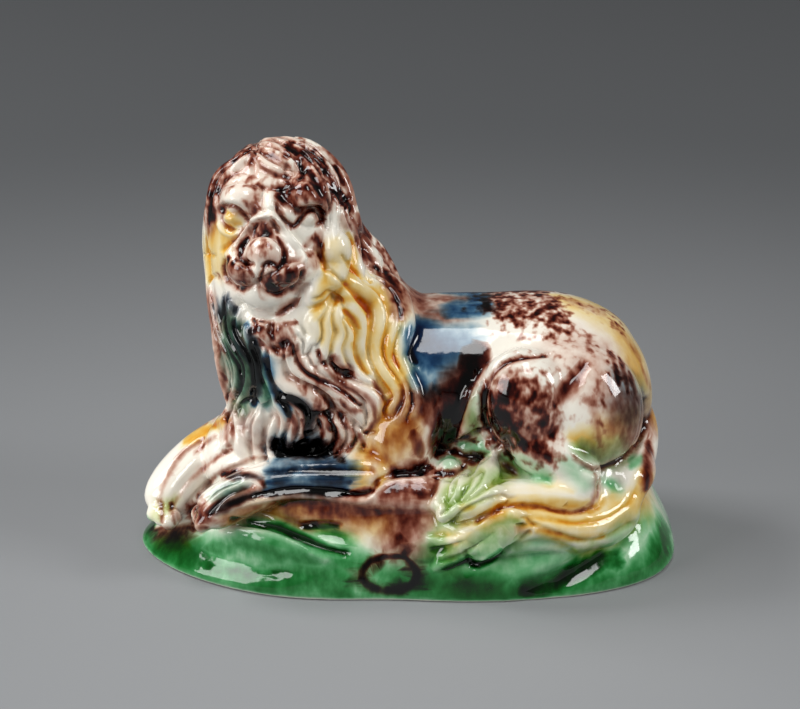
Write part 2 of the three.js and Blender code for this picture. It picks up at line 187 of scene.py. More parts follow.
def limb(stations, ups=UP, around=24, along=36):
    """Rounded limb: an ellipse carried along a smooth run of stations [x, y, z, half width, half height],
    closing to a point at the ends as a quarter circle does. The half height lies along ups, one direction
    or one a station."""
    stations = np.asarray(stations, float)
    t = (1 - np.cos(np.pi * np.arange(1, along) / along)) / 2
    middle = smooth_run(stations[:, :3], t)
    half = np.maximum(smooth_run(stations[:, 3:5], t), 0.05)
    ahead = unit(smooth_run(stations[:, :3], t + 1e-3) - smooth_run(stations[:, :3], t - 1e-3))
    length = np.linalg.norm(np.diff(stations[:, :3], axis=0), axis=1).sum()
    reach = np.minimum(0.5, half.max(1) / length)
    near = np.minimum(1, np.minimum(t, 1 - t) / reach)
    closing = np.sqrt(1 - (1 - near) ** 2)
    ups = np.asarray(ups, float)
    upward = smooth_run(ups, t) if ups.ndim == 2 else np.broadcast_to(ups, middle.shape)
    across = unit(np.cross(ahead, upward))
    lift = np.cross(across, ahead)
    turn = np.linspace(0, 2 * np.pi, around, endpoint=False)[None, :, None]
    half = half * closing[:, None]
    rings = (
        middle[:, None]
        - across[:, None] * half[:, None, :1] * np.cos(turn)
        + lift[:, None] * half[:, None, 1:] * np.sin(turn)
    )
    return skin(stations[0, :3], rings, stations[-1, :3])


def lump(middle, half, lean=0.0, around=48):
    """Ellipsoid with its own half sizes, leaning about the Y axis by some degrees."""
    from_top = np.pi * np.arange(1, around // 2)[:, None] / (around // 2)
    turn = np.linspace(0, 2 * np.pi, around, endpoint=False)[None]
    wide = np.sin(from_top)
    ball = np.stack([wide * np.cos(turn), wide * np.sin(turn), np.cos(from_top) + 0 * turn], -1)
    a = np.radians(lean)
    leaning = np.array([[np.cos(a), 0, np.sin(a)], [0, 1, 0], [-np.sin(a), 0, np.cos(a)]])
    top, rings, foot = ((p * np.asarray(half)) @ leaning.T + np.asarray(middle) for p in (UP, ball, -UP))
    return skin(top, rings, foot)


def mirrored(stations):
    return [[x, -y, *rest] for x, y, *rest in stations]


def on_ledge(form):
    """A form of the lion, put down on its ledge."""
    corners, faces = form
    return corners + LION_PLACE + FOOT_SHIFT, faces


# The rocky ground: its profile is [share of the plan's reach, share of the rise] from foot to ledge, and
# each fold is (start, end, half width, push), its ends as (millimetres along, share of the rise)

GROUND_PROFILE = [
    [0.985, 0], [1, 0.05], [0.995, 0.12], [0.98, 0.22], [0.95, 0.38], [0.915, 0.56], [0.88, 0.72],
    [0.83, 0.87], [0.77, 0.97], [0.66, 1],
]
ROCK_FOLDS = [
    ((-38, 0.93), (-4, 0.95), 0.1, 1.2), ((-37, 0.8), (-10, 0.6), 0.07, -1.8),
    ((-39, 0.64), (-16, 0.46), 0.09, 1.2), ((-45, 0.38), (-25, 0.26), 0.1, -0.8),
    ((46, 0.75), (20, 0.3), 0.17, 2), ((47, 0.5), (30, 0.12), 0.08, -1.4),
    ((22, 0.72), (-2, 0.5), 0.15, 1.4),
]
# How far to either side of its ends a fold is eased, in millimetres
FOLD_EASE = 4
# The ledge falls by a share of its rise under the forepaws, between two shares of the half length
FORE_FALL = 0.58
FORE_REACH = (0.5, 1.0)
# It steps up by the elbow: how much, and where along the lion that begins and ends, in millimetres
ELBOW_STEP = 3.4
ELBOW_RISE = (-8, -1)
ELBOW_FALL = (12, 26)


def ground_reach(turn):
    """How far the plan reaches at a turn, as a share of its half sizes: a blunt oval, |cos|^n + |sin|^n =
    1, squarer at the tail end, with one shallow bay in the near side."""
    power = 2.42 + 0.53 * np.cos(turn)
    oval = (np.abs(np.cos(turn)) ** power + np.abs(np.sin(turn)) ** power) ** (-1 / power)
    from_bay = np.angle(np.exp(1j * (turn + np.radians(95))))
    return oval * (1 - 0.05 * bell(from_bay / np.radians(14)))


def fold_push(x, rise):
    """How far the slope is pushed out in millimetres: bells across each fold's line from end to end."""
    push = np.zeros_like(x)
    for start, end, wide, out in ROCK_FOLDS:
        low, high = min(start[0], end[0]), max(start[0], end[0])
        within = between(x, (low - FOLD_EASE, low + FOLD_EASE), (high - FOLD_EASE, high + FOLD_EASE))
        line = start[1] + (end[1] - start[1]) * (x - start[0]) / (end[0] - start[0])
        push += out * within * bell((rise - line) / wide)
    return push


def ground():
    """Rings of the blunt oval from foot to ledge. The ledge falls away under the forepaws and steps up by
    the elbow, and the near slope carries the rock's folds."""
    reach, rise = smooth_run(GROUND_PROFILE, np.linspace(0, 1, 56)).T[:, :, None]
    turn = np.linspace(0, 2 * np.pi, 300, endpoint=False)[None]
    out = np.stack([GROUND_LENGTH / 2 * np.cos(turn), GROUND_DEPTH / 2 * np.sin(turn)], -1)
    plan = out * (ground_reach(turn) * reach)[..., None]
    nearness = step_up(-np.sin(turn), 0, 0.5)
    fall = step_up(-plan[..., 0] / (GROUND_LENGTH / 2), *FORE_REACH)
    lip = between(plan[..., 0], ELBOW_RISE, ELBOW_FALL) * nearness * step_up(reach, 0.7, 0.8)
    height = (GROUND_RISE * (1 - FORE_FALL * fall) + ELBOW_STEP * lip) * rise
    plan = plan + unit(out) * (fold_push(plan[..., 0], rise) * nearness)[..., None]
    rings = np.concatenate([plan, height[..., None]], -1) + FOOT_SHIFT
    return skin(FOOT_SHIFT, rings, FOOT_SHIFT + [0, 0, GROUND_RISE])


# The lion's body, in millimetres from its ledge: [x, y, z, half width, half height] along each limb

TRUNK = [
    [-33, 0, 12, 9, 9], [-24, 0, 15, 14, 13], [-12, 0, 17, 16.5, 16.5], [4, 0.5, 17, 16, 17.4],
    [16, 1, 17, 16.5, 17.4], [30, 1, 16, 19, 18], [40, 1, 12, 17, 15], [49, 1, 7, 9, 8],
]
BED = [
    [-38, -3, -3, 13, 6], [-30, -3, -1, 18, 7], [-12, -1, 0, 22, 7], [8, -1, 0, 24, 7.2],
    [28, -1, -0.5, 25.5, 7.5], [41, -1.5, -1, 21, 8], [49, -3, -2, 12, 6],
]
TAIL_BED = [
    [46, -13, -4, 4, 5], [38, -20, -6, 5, 6], [27, -23.5, -4, 5, 6.5], [16, -24, -4.5, 5, 6.5],
    [5, -22, -5, 5, 6],
]
NAPE = [
    [-17, 0, 44, 12, 10], [-9, 0.5, 32, 13, 10], [-1, 1, 26, 14, 9], [10, 1, 22, 13, 9],
]
UPPER_ARM = [
    [1, -6, 29, 6, 7], [1, -10.5, 18, 6.5, 8], [-1.5, -14, 9, 5.8, 7.5], [-3.5, -15.5, 2.5, 4.5, 5],
]
NEAR_FORELEG = [
    [-2, -17, 4.2, 5, 5], [-13, -18, 3.2, 4.4, 4.6], [-24, -18.5, 2.8, 4.4, 4.6], [-31, -19.5, 1, 5, 4.6],
    [-37, -20.3, -2, 4.9, 4.4], [-41, -20.4, -4.6, 4.3, 3.6],
]
FAR_FORELEG = [
    [-27, 5, 6, 7.5, 6.5], [-35.5, 4, 2.5, 6, 5.4], [-43, 1, -1.5, 5.8, 5.2], [-48, -4, -5.5, 5.6, 4.8],
    [-49, -9.5, -9, 5.2, 4],
]
SHANK = [
    [20, -16.5, 13, 6, 6], [28, -18.6, 9, 5.6, 6.2], [34, -20.6, 5, 3.8, 4.8], [36.6, -21.6, 2.6, 3, 3.8],
]
TAIL_ROOT = [
    [45, -3, 4, 6, 7], [43, -11, 0.5, 7, 5.5], [38, -17, -1.5, 5, 4],
]
HIND_FOOT = [
    [37, -21.8, 2.2, 3.2, 3.8], [29, -23.2, 2, 3.4, 3.2], [20, -24, 2.2, 3.6, 3], [12, -24.3, 1.6, 4, 3.4],
    [8, -24.5, 0, 3.8, 3],
]
TAIL = [
    [43, 6, 14, 4, 4], [47, 0, 6, 4.6, 4.8], [44.6, -9, 0.4, 5.2, 5], [42, -17, -3.4, 4.2, 4.2],
    [36.5, -23, -5, 3.3, 3.5], [28, -26.4, -3.4, 2.9, 3], [20, -27.2, -1.4, 2.6, 2.7],
    [14, -27, -2, 2.2, 2],
]
SIDEWAYS = (1, 0, 0)

# Half width of a toe and of its tip, and how far apart toes are, in millimetres
TOE = 1.8
TOE_TIP = 1.6
TOES_APART = 2.7
# Toes fan from the end of a paw: (paw end, heading in degrees, dip)
PAWS = [
    ([-40.5, -20.6, -4.6], 192, 3.2), ([-49.5, -10.5, -9.2], 222, 3), ([7.5, -24.8, -0.5], 188, 3),
    ([7.5, 24.8, -0.5], 172, 3),
]


def toes(paw_end, heading, dip):
    """Three short limbs side by side, each rising to a knuckle and dipping to its tip."""
    paw_end = np.array(paw_end, float)
    ahead = np.array([np.cos(np.radians(heading)), np.sin(np.radians(heading)), 0])
    aside = np.array([-ahead[1], ahead[0], 0])
    made = []
    for side in (-TOES_APART, 0, TOES_APART):
        root = paw_end + [0, 0, 1] + 0.8 * side * aside - 2.2 * ahead
        tip = paw_end - [0, 0, 0.5 * dip] + side * aside + 1.8 * ahead
        knuckle = root + 0.6 * (tip - root) + [0, 0, 0.9]
        stations = [[*root, TOE, TOE], [*knuckle, TOE, TOE], [*tip, TOE_TIP, TOE_TIP]]
        made.append(limb(stations, around=18, along=18))
    return made


def body():
    forms = [
        limb(TRUNK, around=64, along=64),
        limb(BED, around=48, along=48),
        limb(TAIL_BED),
        limb(NAPE, around=48),
        # haunches, thighs and chest
        lump([31, -10.5, 14], [16.5, 11.5, 15.8], around=64),
        lump([31, 12, 13], [16.5, 10.5, 15.5], around=64),
        lump([24.4, -15.5, 18], [9.4, 7.6, 12], lean=-20, around=64),
        lump([24, 17, 17], [9.2, 6, 11.6], lean=-18, around=48),
        lump([-30, -2, 1], [12, 14, 11]),
        # limbs and tail
        limb(UPPER_ARM, SIDEWAYS, around=36),
        limb(mirrored(UPPER_ARM), SIDEWAYS, around=36),
        limb(NEAR_FORELEG),
        limb(FAR_FORELEG, around=32),
        limb(SHANK),
        limb(mirrored(SHANK)),
        limb(HIND_FOOT),
        limb(mirrored(HIND_FOOT)),
        limb(TAIL, along=80),
        limb(TAIL_ROOT),
        *(toe for paw in PAWS for toe in toes(*paw)),
    ]
    return [on_ledge(form) for form in forms]


# The neck under the mane: level sections [height, middle x, middle y, half length, half depth]

NECK = [
    [1, -20.7, -0.5, 14, 14.5], [9, -21.3, -0.5, 15.4, 16], [16, -20.4, -0.5, 17, 16.6],
    [26, -20.3, -1, 18.2, 16.8], [34, -20.6, -1, 18.6, 16.4], [43, -22.6, -1, 17, 15.4],
    [47.5, -24.6, -1.2, 15, 14.8], [53, -25.5, -1.5, 13.8, 14.1], [59.5, -25.7, -2, 12.4, 13],
    [65, -25.2, -2, 9, 9.6], [67.8, -25.3, -2, 3.8, 4.4],
]
NECK_HEIGHTS = np.array(NECK)[:, 0]
# The points that its skin closes to
NECK_FOOT = [-20.7, -0.5, 1]
NECK_TOP = [-25.3, -2, 68.2]


def neck_skin(height, turned):
    """Points of the neck's skin and the way out of it, at heights and degrees round from the near side: an
    ellipse whose middle and half sizes run smoothly through the sections."""
    share = np.interp(height, NECK_HEIGHTS, np.linspace(0, 1, len(NECK)))
    _, x, y, long, deep = smooth_run(NECK, share).T
    a = np.radians(turned)
    point = np.stack([x + long * np.sin(a), y - deep * np.cos(a), height], -1)
    return point, unit(np.stack([np.sin(a) / long, -np.cos(a) / deep, 0 * a], -1))


def neck():
    """Rings of the neck's skin, drawn in at the foot where the mane's hem leaves it."""
    heights = np.linspace(NECK_HEIGHTS[0], NECK_HEIGHTS[-1], 90)
    turned = np.linspace(-180, 180, 120, endpoint=False)
    height, turn = (grid.ravel() for grid in np.meshgrid(heights, turned, indexing="ij"))
    point, out = neck_skin(height, turn)
    point -= out * (2.2 * (1 - step_up(height, 6, 12)) + 0.4)[:, None]
    return on_ledge(skin(NECK_FOOT, point.reshape(len(heights), len(turned), 3), NECK_TOP))


# The head, in its own frame: across the face to the viewer's right, up it, and out of it

HEAD_PLACE = np.array([-23.4, -3.6, 54.0])
HEAD_YAW, HEAD_PITCH, HEAD_ROLL = np.radians([-17.0, 8.0, 6.0])


def head_axes():
    """Rows that point across, up and out of the face."""
    level = np.array([np.sin(HEAD_YAW), -np.cos(HEAD_YAW), 0])
    out = level * np.cos(HEAD_PITCH) + UP * np.sin(HEAD_PITCH)
    right = np.array([np.cos(HEAD_YAW), np.sin(HEAD_YAW), 0])
    up = np.cross(out, right)
    return np.array([
        right * np.cos(HEAD_ROLL) + up * np.sin(HEAD_ROLL),
        up * np.cos(HEAD_ROLL) - right * np.sin(HEAD_ROLL),
        out,
    ])


def from_head(points):
    return np.asarray(points, float) @ head_axes() + HEAD_PLACE


# Domes that the face is built of: [x, y, half width, half height, foot, rise], all in the head's frame
FACE_DOMES = [
    [-1, -1, 12.8, 15.5, 2, 10.3], [-1.2, -7.6, 9.8, 7.6, 2, 13], [-2, -13.2, 8.2, 6.6, 2, 12.4],
    [-5.4, 5.2, 5.6, 3.9, 6, 7.6], [8, 5.6, 5, 3.4, 6, 7], [0.8, 1.4, 4.4, 5, 6, 8.6],
    [0.2, -5, 5.4, 4.2, 8, 9.2], [-1, -8.6, 2.8, 3.4, 8, 8.4], [-5.4, -8.7, 4.9, 4.3, 6, 9.9],
    [3.4, -9.2, 5.6, 4.3, 6, 10],
]
# Over how many millimetres the domes blend, and the face's middle, half sizes and back
DOME_BLEND = 1.5
FACE_MIDDLE = (-1, -3)
FACE_HALF = (13.6, 17.4)
FACE_BACK = -4


def face():
    """The front of the head as one height over across and up: the soft greatest, log of the sum of exp, of
    a few elliptical domes. It runs back into the neck at its rim."""
    out_from_middle = np.linspace(0.02, 1, 110)[:, None]
    turn = np.linspace(0, 2 * np.pi, 240, endpoint=False)[None]
    x = FACE_MIDDLE[0] + FACE_HALF[0] * out_from_middle * np.cos(turn)
    y = FACE_MIDDLE[1] + FACE_HALF[1] * out_from_middle * np.sin(turn)
    rim = step_up(out_from_middle, 0.94, 1)
    sharpness = 1 / DOME_BLEND
    total = np.zeros_like(x)
    for x0, y0, wide, high, foot, rise in FACE_DOMES:
        inside = np.maximum(0, 1 - ((x - x0) / wide) ** 2 - ((y - y0) / high) ** 2)
        total += np.where(inside > 0, np.exp(sharpness * (foot + rise * np.sqrt(inside))), 0)
    z = np.log(total + 1) / sharpness
    z = z * (1 - rim) + FACE_BACK * rim
    rings = np.stack([x, y, z], -1)[::-1]
    front = from_head(rings.reshape(-1, 3)).reshape(rings.shape)
    return on_ledge(skin(from_head([*FACE_MIDDLE, FACE_BACK]), front, front[-1].mean(0)))


MASSES = [ground(), *body(), neck(), face()]


def gathered(forms):
    """Forms as one set of corners and triangles."""
    starts = np.cumsum([0] + [len(corners) for corners, _ in forms[:-1]])
    return np.vstack([c for c, _ in forms]), np.vstack([f + s for (_, f), s in zip(forms, starts)])


MASS_TREE = BVHTree.FromPolygons(*(a.tolist() for a in gathered(MASSES)))


def laid(pixels):
    """Places on the masses, and the way out of them, where the sight lines through some pixels first meet
    them. A line that passes by takes the nearest place instead."""
    places, outs = [], []
    eye = viewer()
    for pixel in pixels:
        line = sight_line(pixel)
        place, out, _, _ = MASS_TREE.ray_cast(Vector(eye), Vector(line))
        if place is None:
            beside = eye + line * STAND_OFF
            place, out, _, _ = MASS_TREE.find_nearest(Vector(beside))
        out = np.array(out)
        places.append(np.array(place))
        outs.append(out if out @ line < 0 else -out)
    return np.array(places), np.array(outs)


def eased(rows):
    """Rows averaged twice with their neighbours along a run."""
    for _ in range(2):
        padded = np.vstack([rows[:1], rows, rows[-1:]])
        rows = (padded[:-2] + 2 * padded[1:-1] + padded[2:]) / 4
    return rows


# How wide a lock is at its root and its tip, as shares of its widest
ROOT = 0.6
TIP = 0.35


def swelling(share, root=ROOT, tip=TIP):
    """How much of its half width a lock has, some share of the way from its root to its tip."""
    return np.interp(share, [0, 0.2, 0.7, 1], [root, 1, 1, tip])


def lock(pixels, wide, proud=0.5, root=ROOT, tip=TIP, flat=0.85):
    """A lock of hair laid on the masses along a run of pixels: a limb that swells from its root and thins
    to its tip, sunk by all but a share of its half height."""
    places, outs = laid(pixels)
    outs = unit(eased(outs))
    size = wide * swelling(np.linspace(0, 1, len(places)), root, tip)
    middle = places + outs * (size * flat * (proud - 0.5))[:, None]
    return limb(np.column_stack([middle, size, size * flat]), outs, around=20, along=14 + 6 * len(places))


# Locks of the mane on the near side: (half width in millimetres, then the run of pixels down the lock)
MANE_LOCKS = runs(1, [
    (1.4, 222,408, 225,420, 228,432, 226,443, 220,450), (2.7, 243,408, 240,424, 241,440, 246,457),
    (2.4, 260,408, 256,426, 257,442, 262,459), (1.4, 274,422, 269,437, 268,450, 273,460),
    (1.7, 207,262, 205,283, 207,305, 210,325, 216,345, 222,362, 225,380, 222,396, 222,412),
    (1.5, 212,282, 214,300, 218,318, 222,335, 230,352, 236,368, 236,384, 231,398, 226,415),
    (1.7, 229,300, 231,312, 229,324, 232,337, 240,351, 248,364, 249,378, 246,390, 238,404, 236,418),
    (1.6, 238,312, 236,326, 241,338, 250,350, 254,363, 256,378, 263,393, 261,404, 252,416, 246,428),
    (1.5, 252,345, 259,357, 263,371, 268,386, 276,399, 285,411, 284,424, 278,438),
    (2.2, 277,352, 275,366, 279,380, 292,388, 308,395, 317,407, 313,421, 305,432),
    (1.8, 288,352, 293,366, 303,376, 318,382, 331,388, 344,399, 357,412, 363,426),
    (1.7, 300,345, 302,360, 309,371, 322,378, 336,384, 350,392, 362,404),
    (1.8, 314,350, 318,364, 328,376, 340,385, 355,389, 369,394, 377,407, 374,420, 365,432),
    (1.5, 283,403, 291,412, 295,426, 292,440, 287,449), (1.4, 281,399, 293,405, 303,418, 302,432, 295,444),
    (1.5, 316,414, 324,421, 328,433, 324,442, 317,448), (1.5, 334,419, 341,428, 342,439, 338,447, 330,453),
    (1.4, 345,422, 351,431, 351,441, 346,450, 339,457), (1.4, 356,428, 362,437, 359,446, 352,453, 345,458),
    (2, 330,300, 324,312, 315,321, 318,333, 309,345, 303,356),
    (2, 333,302, 328,316, 327,330, 327,344, 322,358, 318,370),
    (2, 337,303, 338,318, 344,332, 337,348, 342,361, 352,371),
    (1.8, 318,290, 324,282, 335,282, 345,292, 352,306, 360,318, 363,332, 362,345, 363,358, 370,373, 379,386,
     388,397),
    (1.7, 346,322, 351,336, 349,351, 354,366, 363,376, 375,383, 386,394),
    (2.2, 337,268, 347,280, 360,287, 374,298, 380,312, 380,327, 376,343, 377,358, 385,371, 396,385, 397,398,
     388,411),
    (2, 368,278, 382,286, 393,300, 397,315, 394,330, 390,345, 392,360, 401,375, 408,390, 407,405, 400,420),
    (2, 378,272, 392,282, 401,297, 405,312, 406,327, 401,342, 398,357, 404,372, 412,388, 416,402, 412,418),
])


# Locks all share one wave, so that they sweep together down the sides and back of the neck: its length, sway
# and crest, and the neck's radius, in millimetres
WAVE_LENGTH = 22.0
WAVE_SWAY = 2.2
WAVE_CREST = 16.0
NECK_RADIUS = 16.0
# Where the first and last of these locks hang and how far apart, in degrees round from the near side
FAR_ROUND = (88.0, 275.0)
LOCK_STEP = 11.0
LOCK_STATIONS = 14


def mane_round():
    """Locks down the far side and back of the neck, an even number of degrees apart. Each sways by a cosine
    of its height, and each alternate one ends higher, so that two tiers of tips show."""
    locks = []
    for number, turned in enumerate(np.arange(*FAR_ROUND, LOCK_STEP)):
        tiers = [(7 + 2 * np.sin(2.4 * number), 62, 2.0, 0.4)]
        if number % 2:
            tiers.append((26 + 4 * np.sin(1.7 * number), 60, 2.3, 1.2))
        for lowest, highest, wide, proud in tiers:
            height = np.linspace(highest, lowest, LOCK_STATIONS)
            towards_tail = np.clip(2 * np.cos(np.radians(turned)), -1, 1)
            wave = WAVE_SWAY * np.cos(2 * np.pi * (height - WAVE_CREST) / WAVE_LENGTH)
            stray = 1.2 * np.sin(height / 3.3 + number)
            swung = turned + np.degrees((towards_tail * wave + stray) / NECK_RADIUS)
            point, out = neck_skin(height, swung)
            size = wide * swelling(np.linspace(0, 1, LOCK_STATIONS), root=0.5)
            middle = point + out * ((proud - 0.3) * (1 - step_up(height, 44, 58)) - 0.5)[:, None]
            stations = np.column_stack([middle, size, size * 0.8])
            locks.append(on_ledge(limb(stations, out, around=18, along=80)))
    return locks


# Hair of the crown and the bands that frame the face
CROWN_LOCKS = runs(1, [
    (2, 253,151, 245,158, 236,166, 226,173, 219,182, 215,196, 213,212, 211,230, 211,250),
    (1.8, 250,145, 238,150, 226,159, 216,172, 210,188, 206,206, 204,226, 204,250),
    (1.4, 256,152, 261,160, 269,166, 279,170, 290,173), (1.7, 258,146, 270,149, 282,156, 292,163, 299,172),
    (1.6, 262,141, 278,143, 292,149, 304,158, 312,168, 318,180, 324,194, 328,210, 329,226),
    (1.5, 277,139, 293,143, 307,151, 320,162, 331,176, 337,190, 341,204),
    (1.6, 292,139, 309,145, 325,157, 338,171, 346,188, 350,204, 355,222, 361,240, 373,259, 387,275),
    (1.4, 348,198, 343,207, 343,217, 348,227, 354,240, 356,256, 361,270, 372,281),
    (1.5, 329,192, 333,205, 334,220, 333,236),
])
# The broad smooth rolls of hair beside the cheek
SIDE_ROLLS = runs(1, [
    (3, 328,224, 332,243, 333,260, 330,277, 322,293), (2.2, 320,266, 320,280, 315,293, 308,305),
])
BEARD_LOCKS = runs(1, [
    (1.5, 256,321, 251,330, 256,341, 266,347), (1.6, 266,320, 263,330, 268,340, 276,343),
    (1.4, 270,341, 268,349, 275,356, 283,356), (1.5, 277,319, 282,328, 281,338, 275,344),
    (1.5, 287,322, 294,331, 295,342, 289,351), (1.4, 283,340, 288,347, 286,355, 280,359),
])

# Leaves of fur ahead of the thigh, curls over the hind paw and the lobes of the tail's tuft
FUR_LEAVES = runs(1, [
    (2.2, 484,372, 477,390, 470,408, 464,426, 457,438), (2.3, 494,445, 480,448, 466,448, 454,447),
    (2.3, 450,478, 450,468, 451,461), (2.4, 496,452, 491,466, 483,482, 473,495, 461,504),
    (1.7, 482,472, 476,482, 470,491, 462,499), (1.8, 467,474, 461,484, 456,494, 448,503),
    (1.8, 450,472, 449,483, 445,494, 438,503, 430,509), (2.1, 506,488, 490,493, 474,500, 458,508, 447,517),
    (1.8, 500,500, 484,505, 470,512, 458,520),
    (2.2, 530,515, 512,517, 496,522, 480,531, 462,538, 444,541, 427,537),
    (2.2, 524,521, 510,525, 500,537, 490,547, 478,553, 466,553),
    (2.2, 506,522, 490,532, 472,543, 456,552, 443,561, 433,570),
])

RELIEF = [
    *(lock(pixels, wide, proud=0.6, root=0.2, tip=0.25) for wide, pixels in FUR_LEAVES),
    *(lock(pixels, wide) for wide, pixels in MANE_LOCKS),
    *mane_round(),
    *(lock(pixels, wide) for wide, pixels in CROWN_LOCKS),
    *(lock(pixels, wide, proud=0.9, root=0.15, flat=0.9) for wide, pixels in SIDE_ROLLS),
    *(lock(pixels, wide, proud=0.9) for wide, pixels in BEARD_LOCKS),
]


# One skin over all of it


def as_mesh(name, corners, faces):
    """A mesh whose corners, in millimetres, are put into metres."""
    mesh = bpy.data.meshes.new(name)
    mesh.vertices.add(len(corners))
    mesh.vertices.foreach_set("co", (corners * MM).astype(np.float32).ravel())
    mesh.loops.add(faces.size)
    mesh.loops.foreach_set("vertex_index", faces.astype(np.int32).ravel())
    mesh.polygons.add(len(faces))
    mesh.polygons.foreach_set("loop_start", np.arange(0, faces.size, faces.shape[1], dtype=np.int32))
    mesh.update(calc_edges=True)
    mesh.validate()
    return mesh


def placed(name, data):
    """A new object of the scene that holds a mesh, light or camera."""
    made = bpy.data.objects.new(name, data)
    bpy.context.scene.collection.objects.link(made)
    return made


def with_modifier(mesh, kind, plain=None, **settings):
    """The mesh that one modifier makes of another. Where corners are named as plain, it works on those
    first."""
    holder = placed("clay", mesh)
    modifier = holder.modifiers.new(kind.lower(), kind)
    if plain is not None:
        holder.vertex_groups.new(name="plain").add(plain.tolist(), 1.0, "REPLACE")
        modifier.vertex_group = "plain"
    for setting, value in settings.items():
        setattr(modifier, setting, value)
    made = bpy.data.meshes.new_from_object(holder.evaluated_get(bpy.context.evaluated_depsgraph_get()))
    bpy.data.objects.remove(holder)
    return made


def read_rows(items, field, wide, kind=np.float32):
    """A field of all of a mesh's items as rows, so many numbers wide."""
    values = np.empty(len(items) * wide, kind)
    items.foreach_get(field, values)
    return values.reshape(-1, wide)


def read_corners(mesh):
    return read_rows(mesh.vertices, "co", 3).astype(float) / MM


def read_normals(mesh):
    return read_rows(mesh.vertex_normals, "vector", 3).astype(float)


def write_corners(mesh, corners):
    mesh.vertices.foreach_set("co", (corners * MM).astype(np.float32).ravel())
    mesh.update()


def write_depths(mesh, name, depths):
    """Stores one number a corner under a name, for the material to read."""
    mesh.attributes.new(name, "FLOAT", "POINT").data.foreach_set("value", depths.astype(np.float32))


def neighbour_mean(values, edges):
    """Each row's mean over the rows that an edge joins to it."""
    count = len(values)
    start, end = edges.T
    total = [np.bincount(start, row[end], count) + np.bincount(end, row[start], count) for row in values.T]
    return np.stack(total, -1) / np.maximum(np.bincount(edges.ravel(), minlength=count), 1)[:, None]


def softened(corners, edges, times, share=SOFTENING):
    """Corners moved some share of the way to their neighbours' mean, several times."""
    for _ in range(times):
        corners = corners + share * (neighbour_mean(corners, edges) - corners)
    return corners


# A line or a crease is felt this far from its run, and a crease or a dab fades out between two distances,
# all in half widths. A place that no lock is near counts as far off
BRUSH_REACH = 3
FADING = (1.6, 2.4)
FAR_OFF = 9.0


def from_run(places, run, steps):
    """Distance of places on the picture from a smooth run of pixels, and how far along the run the nearest
    point is, from nought to one."""
    count = max(2, steps * (len(run) - 1) + 1)
    points = smooth_run(run, np.linspace(0, 1, count)) if len(run) > 2 else run
    nearest = np.full(len(places), np.inf)
    share = np.zeros(len(places))
    for number, (start, end) in enumerate(zip(points[:-1], points[1:])):
        along = end - start
        t = np.clip((places - start) @ along / (along @ along), 0, 1)
        distance = np.linalg.norm(places - start - t[:, None] * along, axis=1)
        closer = distance < nearest
        nearest = np.where(closer, distance, nearest)
        share = np.where(closer, (number + t) / (len(points) - 1), share)
    return nearest, share


def near_run(places, run, reach, steps=4):
    """Which places lie within reach of a run of pixels, their distance from it and their share along it."""
    low, high = run.min(0) - reach, run.max(0) + reach
    inside = np.flatnonzero(((places > low) & (places < high)).all(1))
    return inside, *from_run(places[inside], run, steps)


def stroke(places, run, wide):
    """How strongly a brush of some half width in pixels touches places on the picture: a bell across the
    run."""
    touch = np.zeros(len(places))
    inside, distance, _ = near_run(places, run, BRUSH_REACH * wide)
    touch[inside] = bell(distance / wide)
    return touch


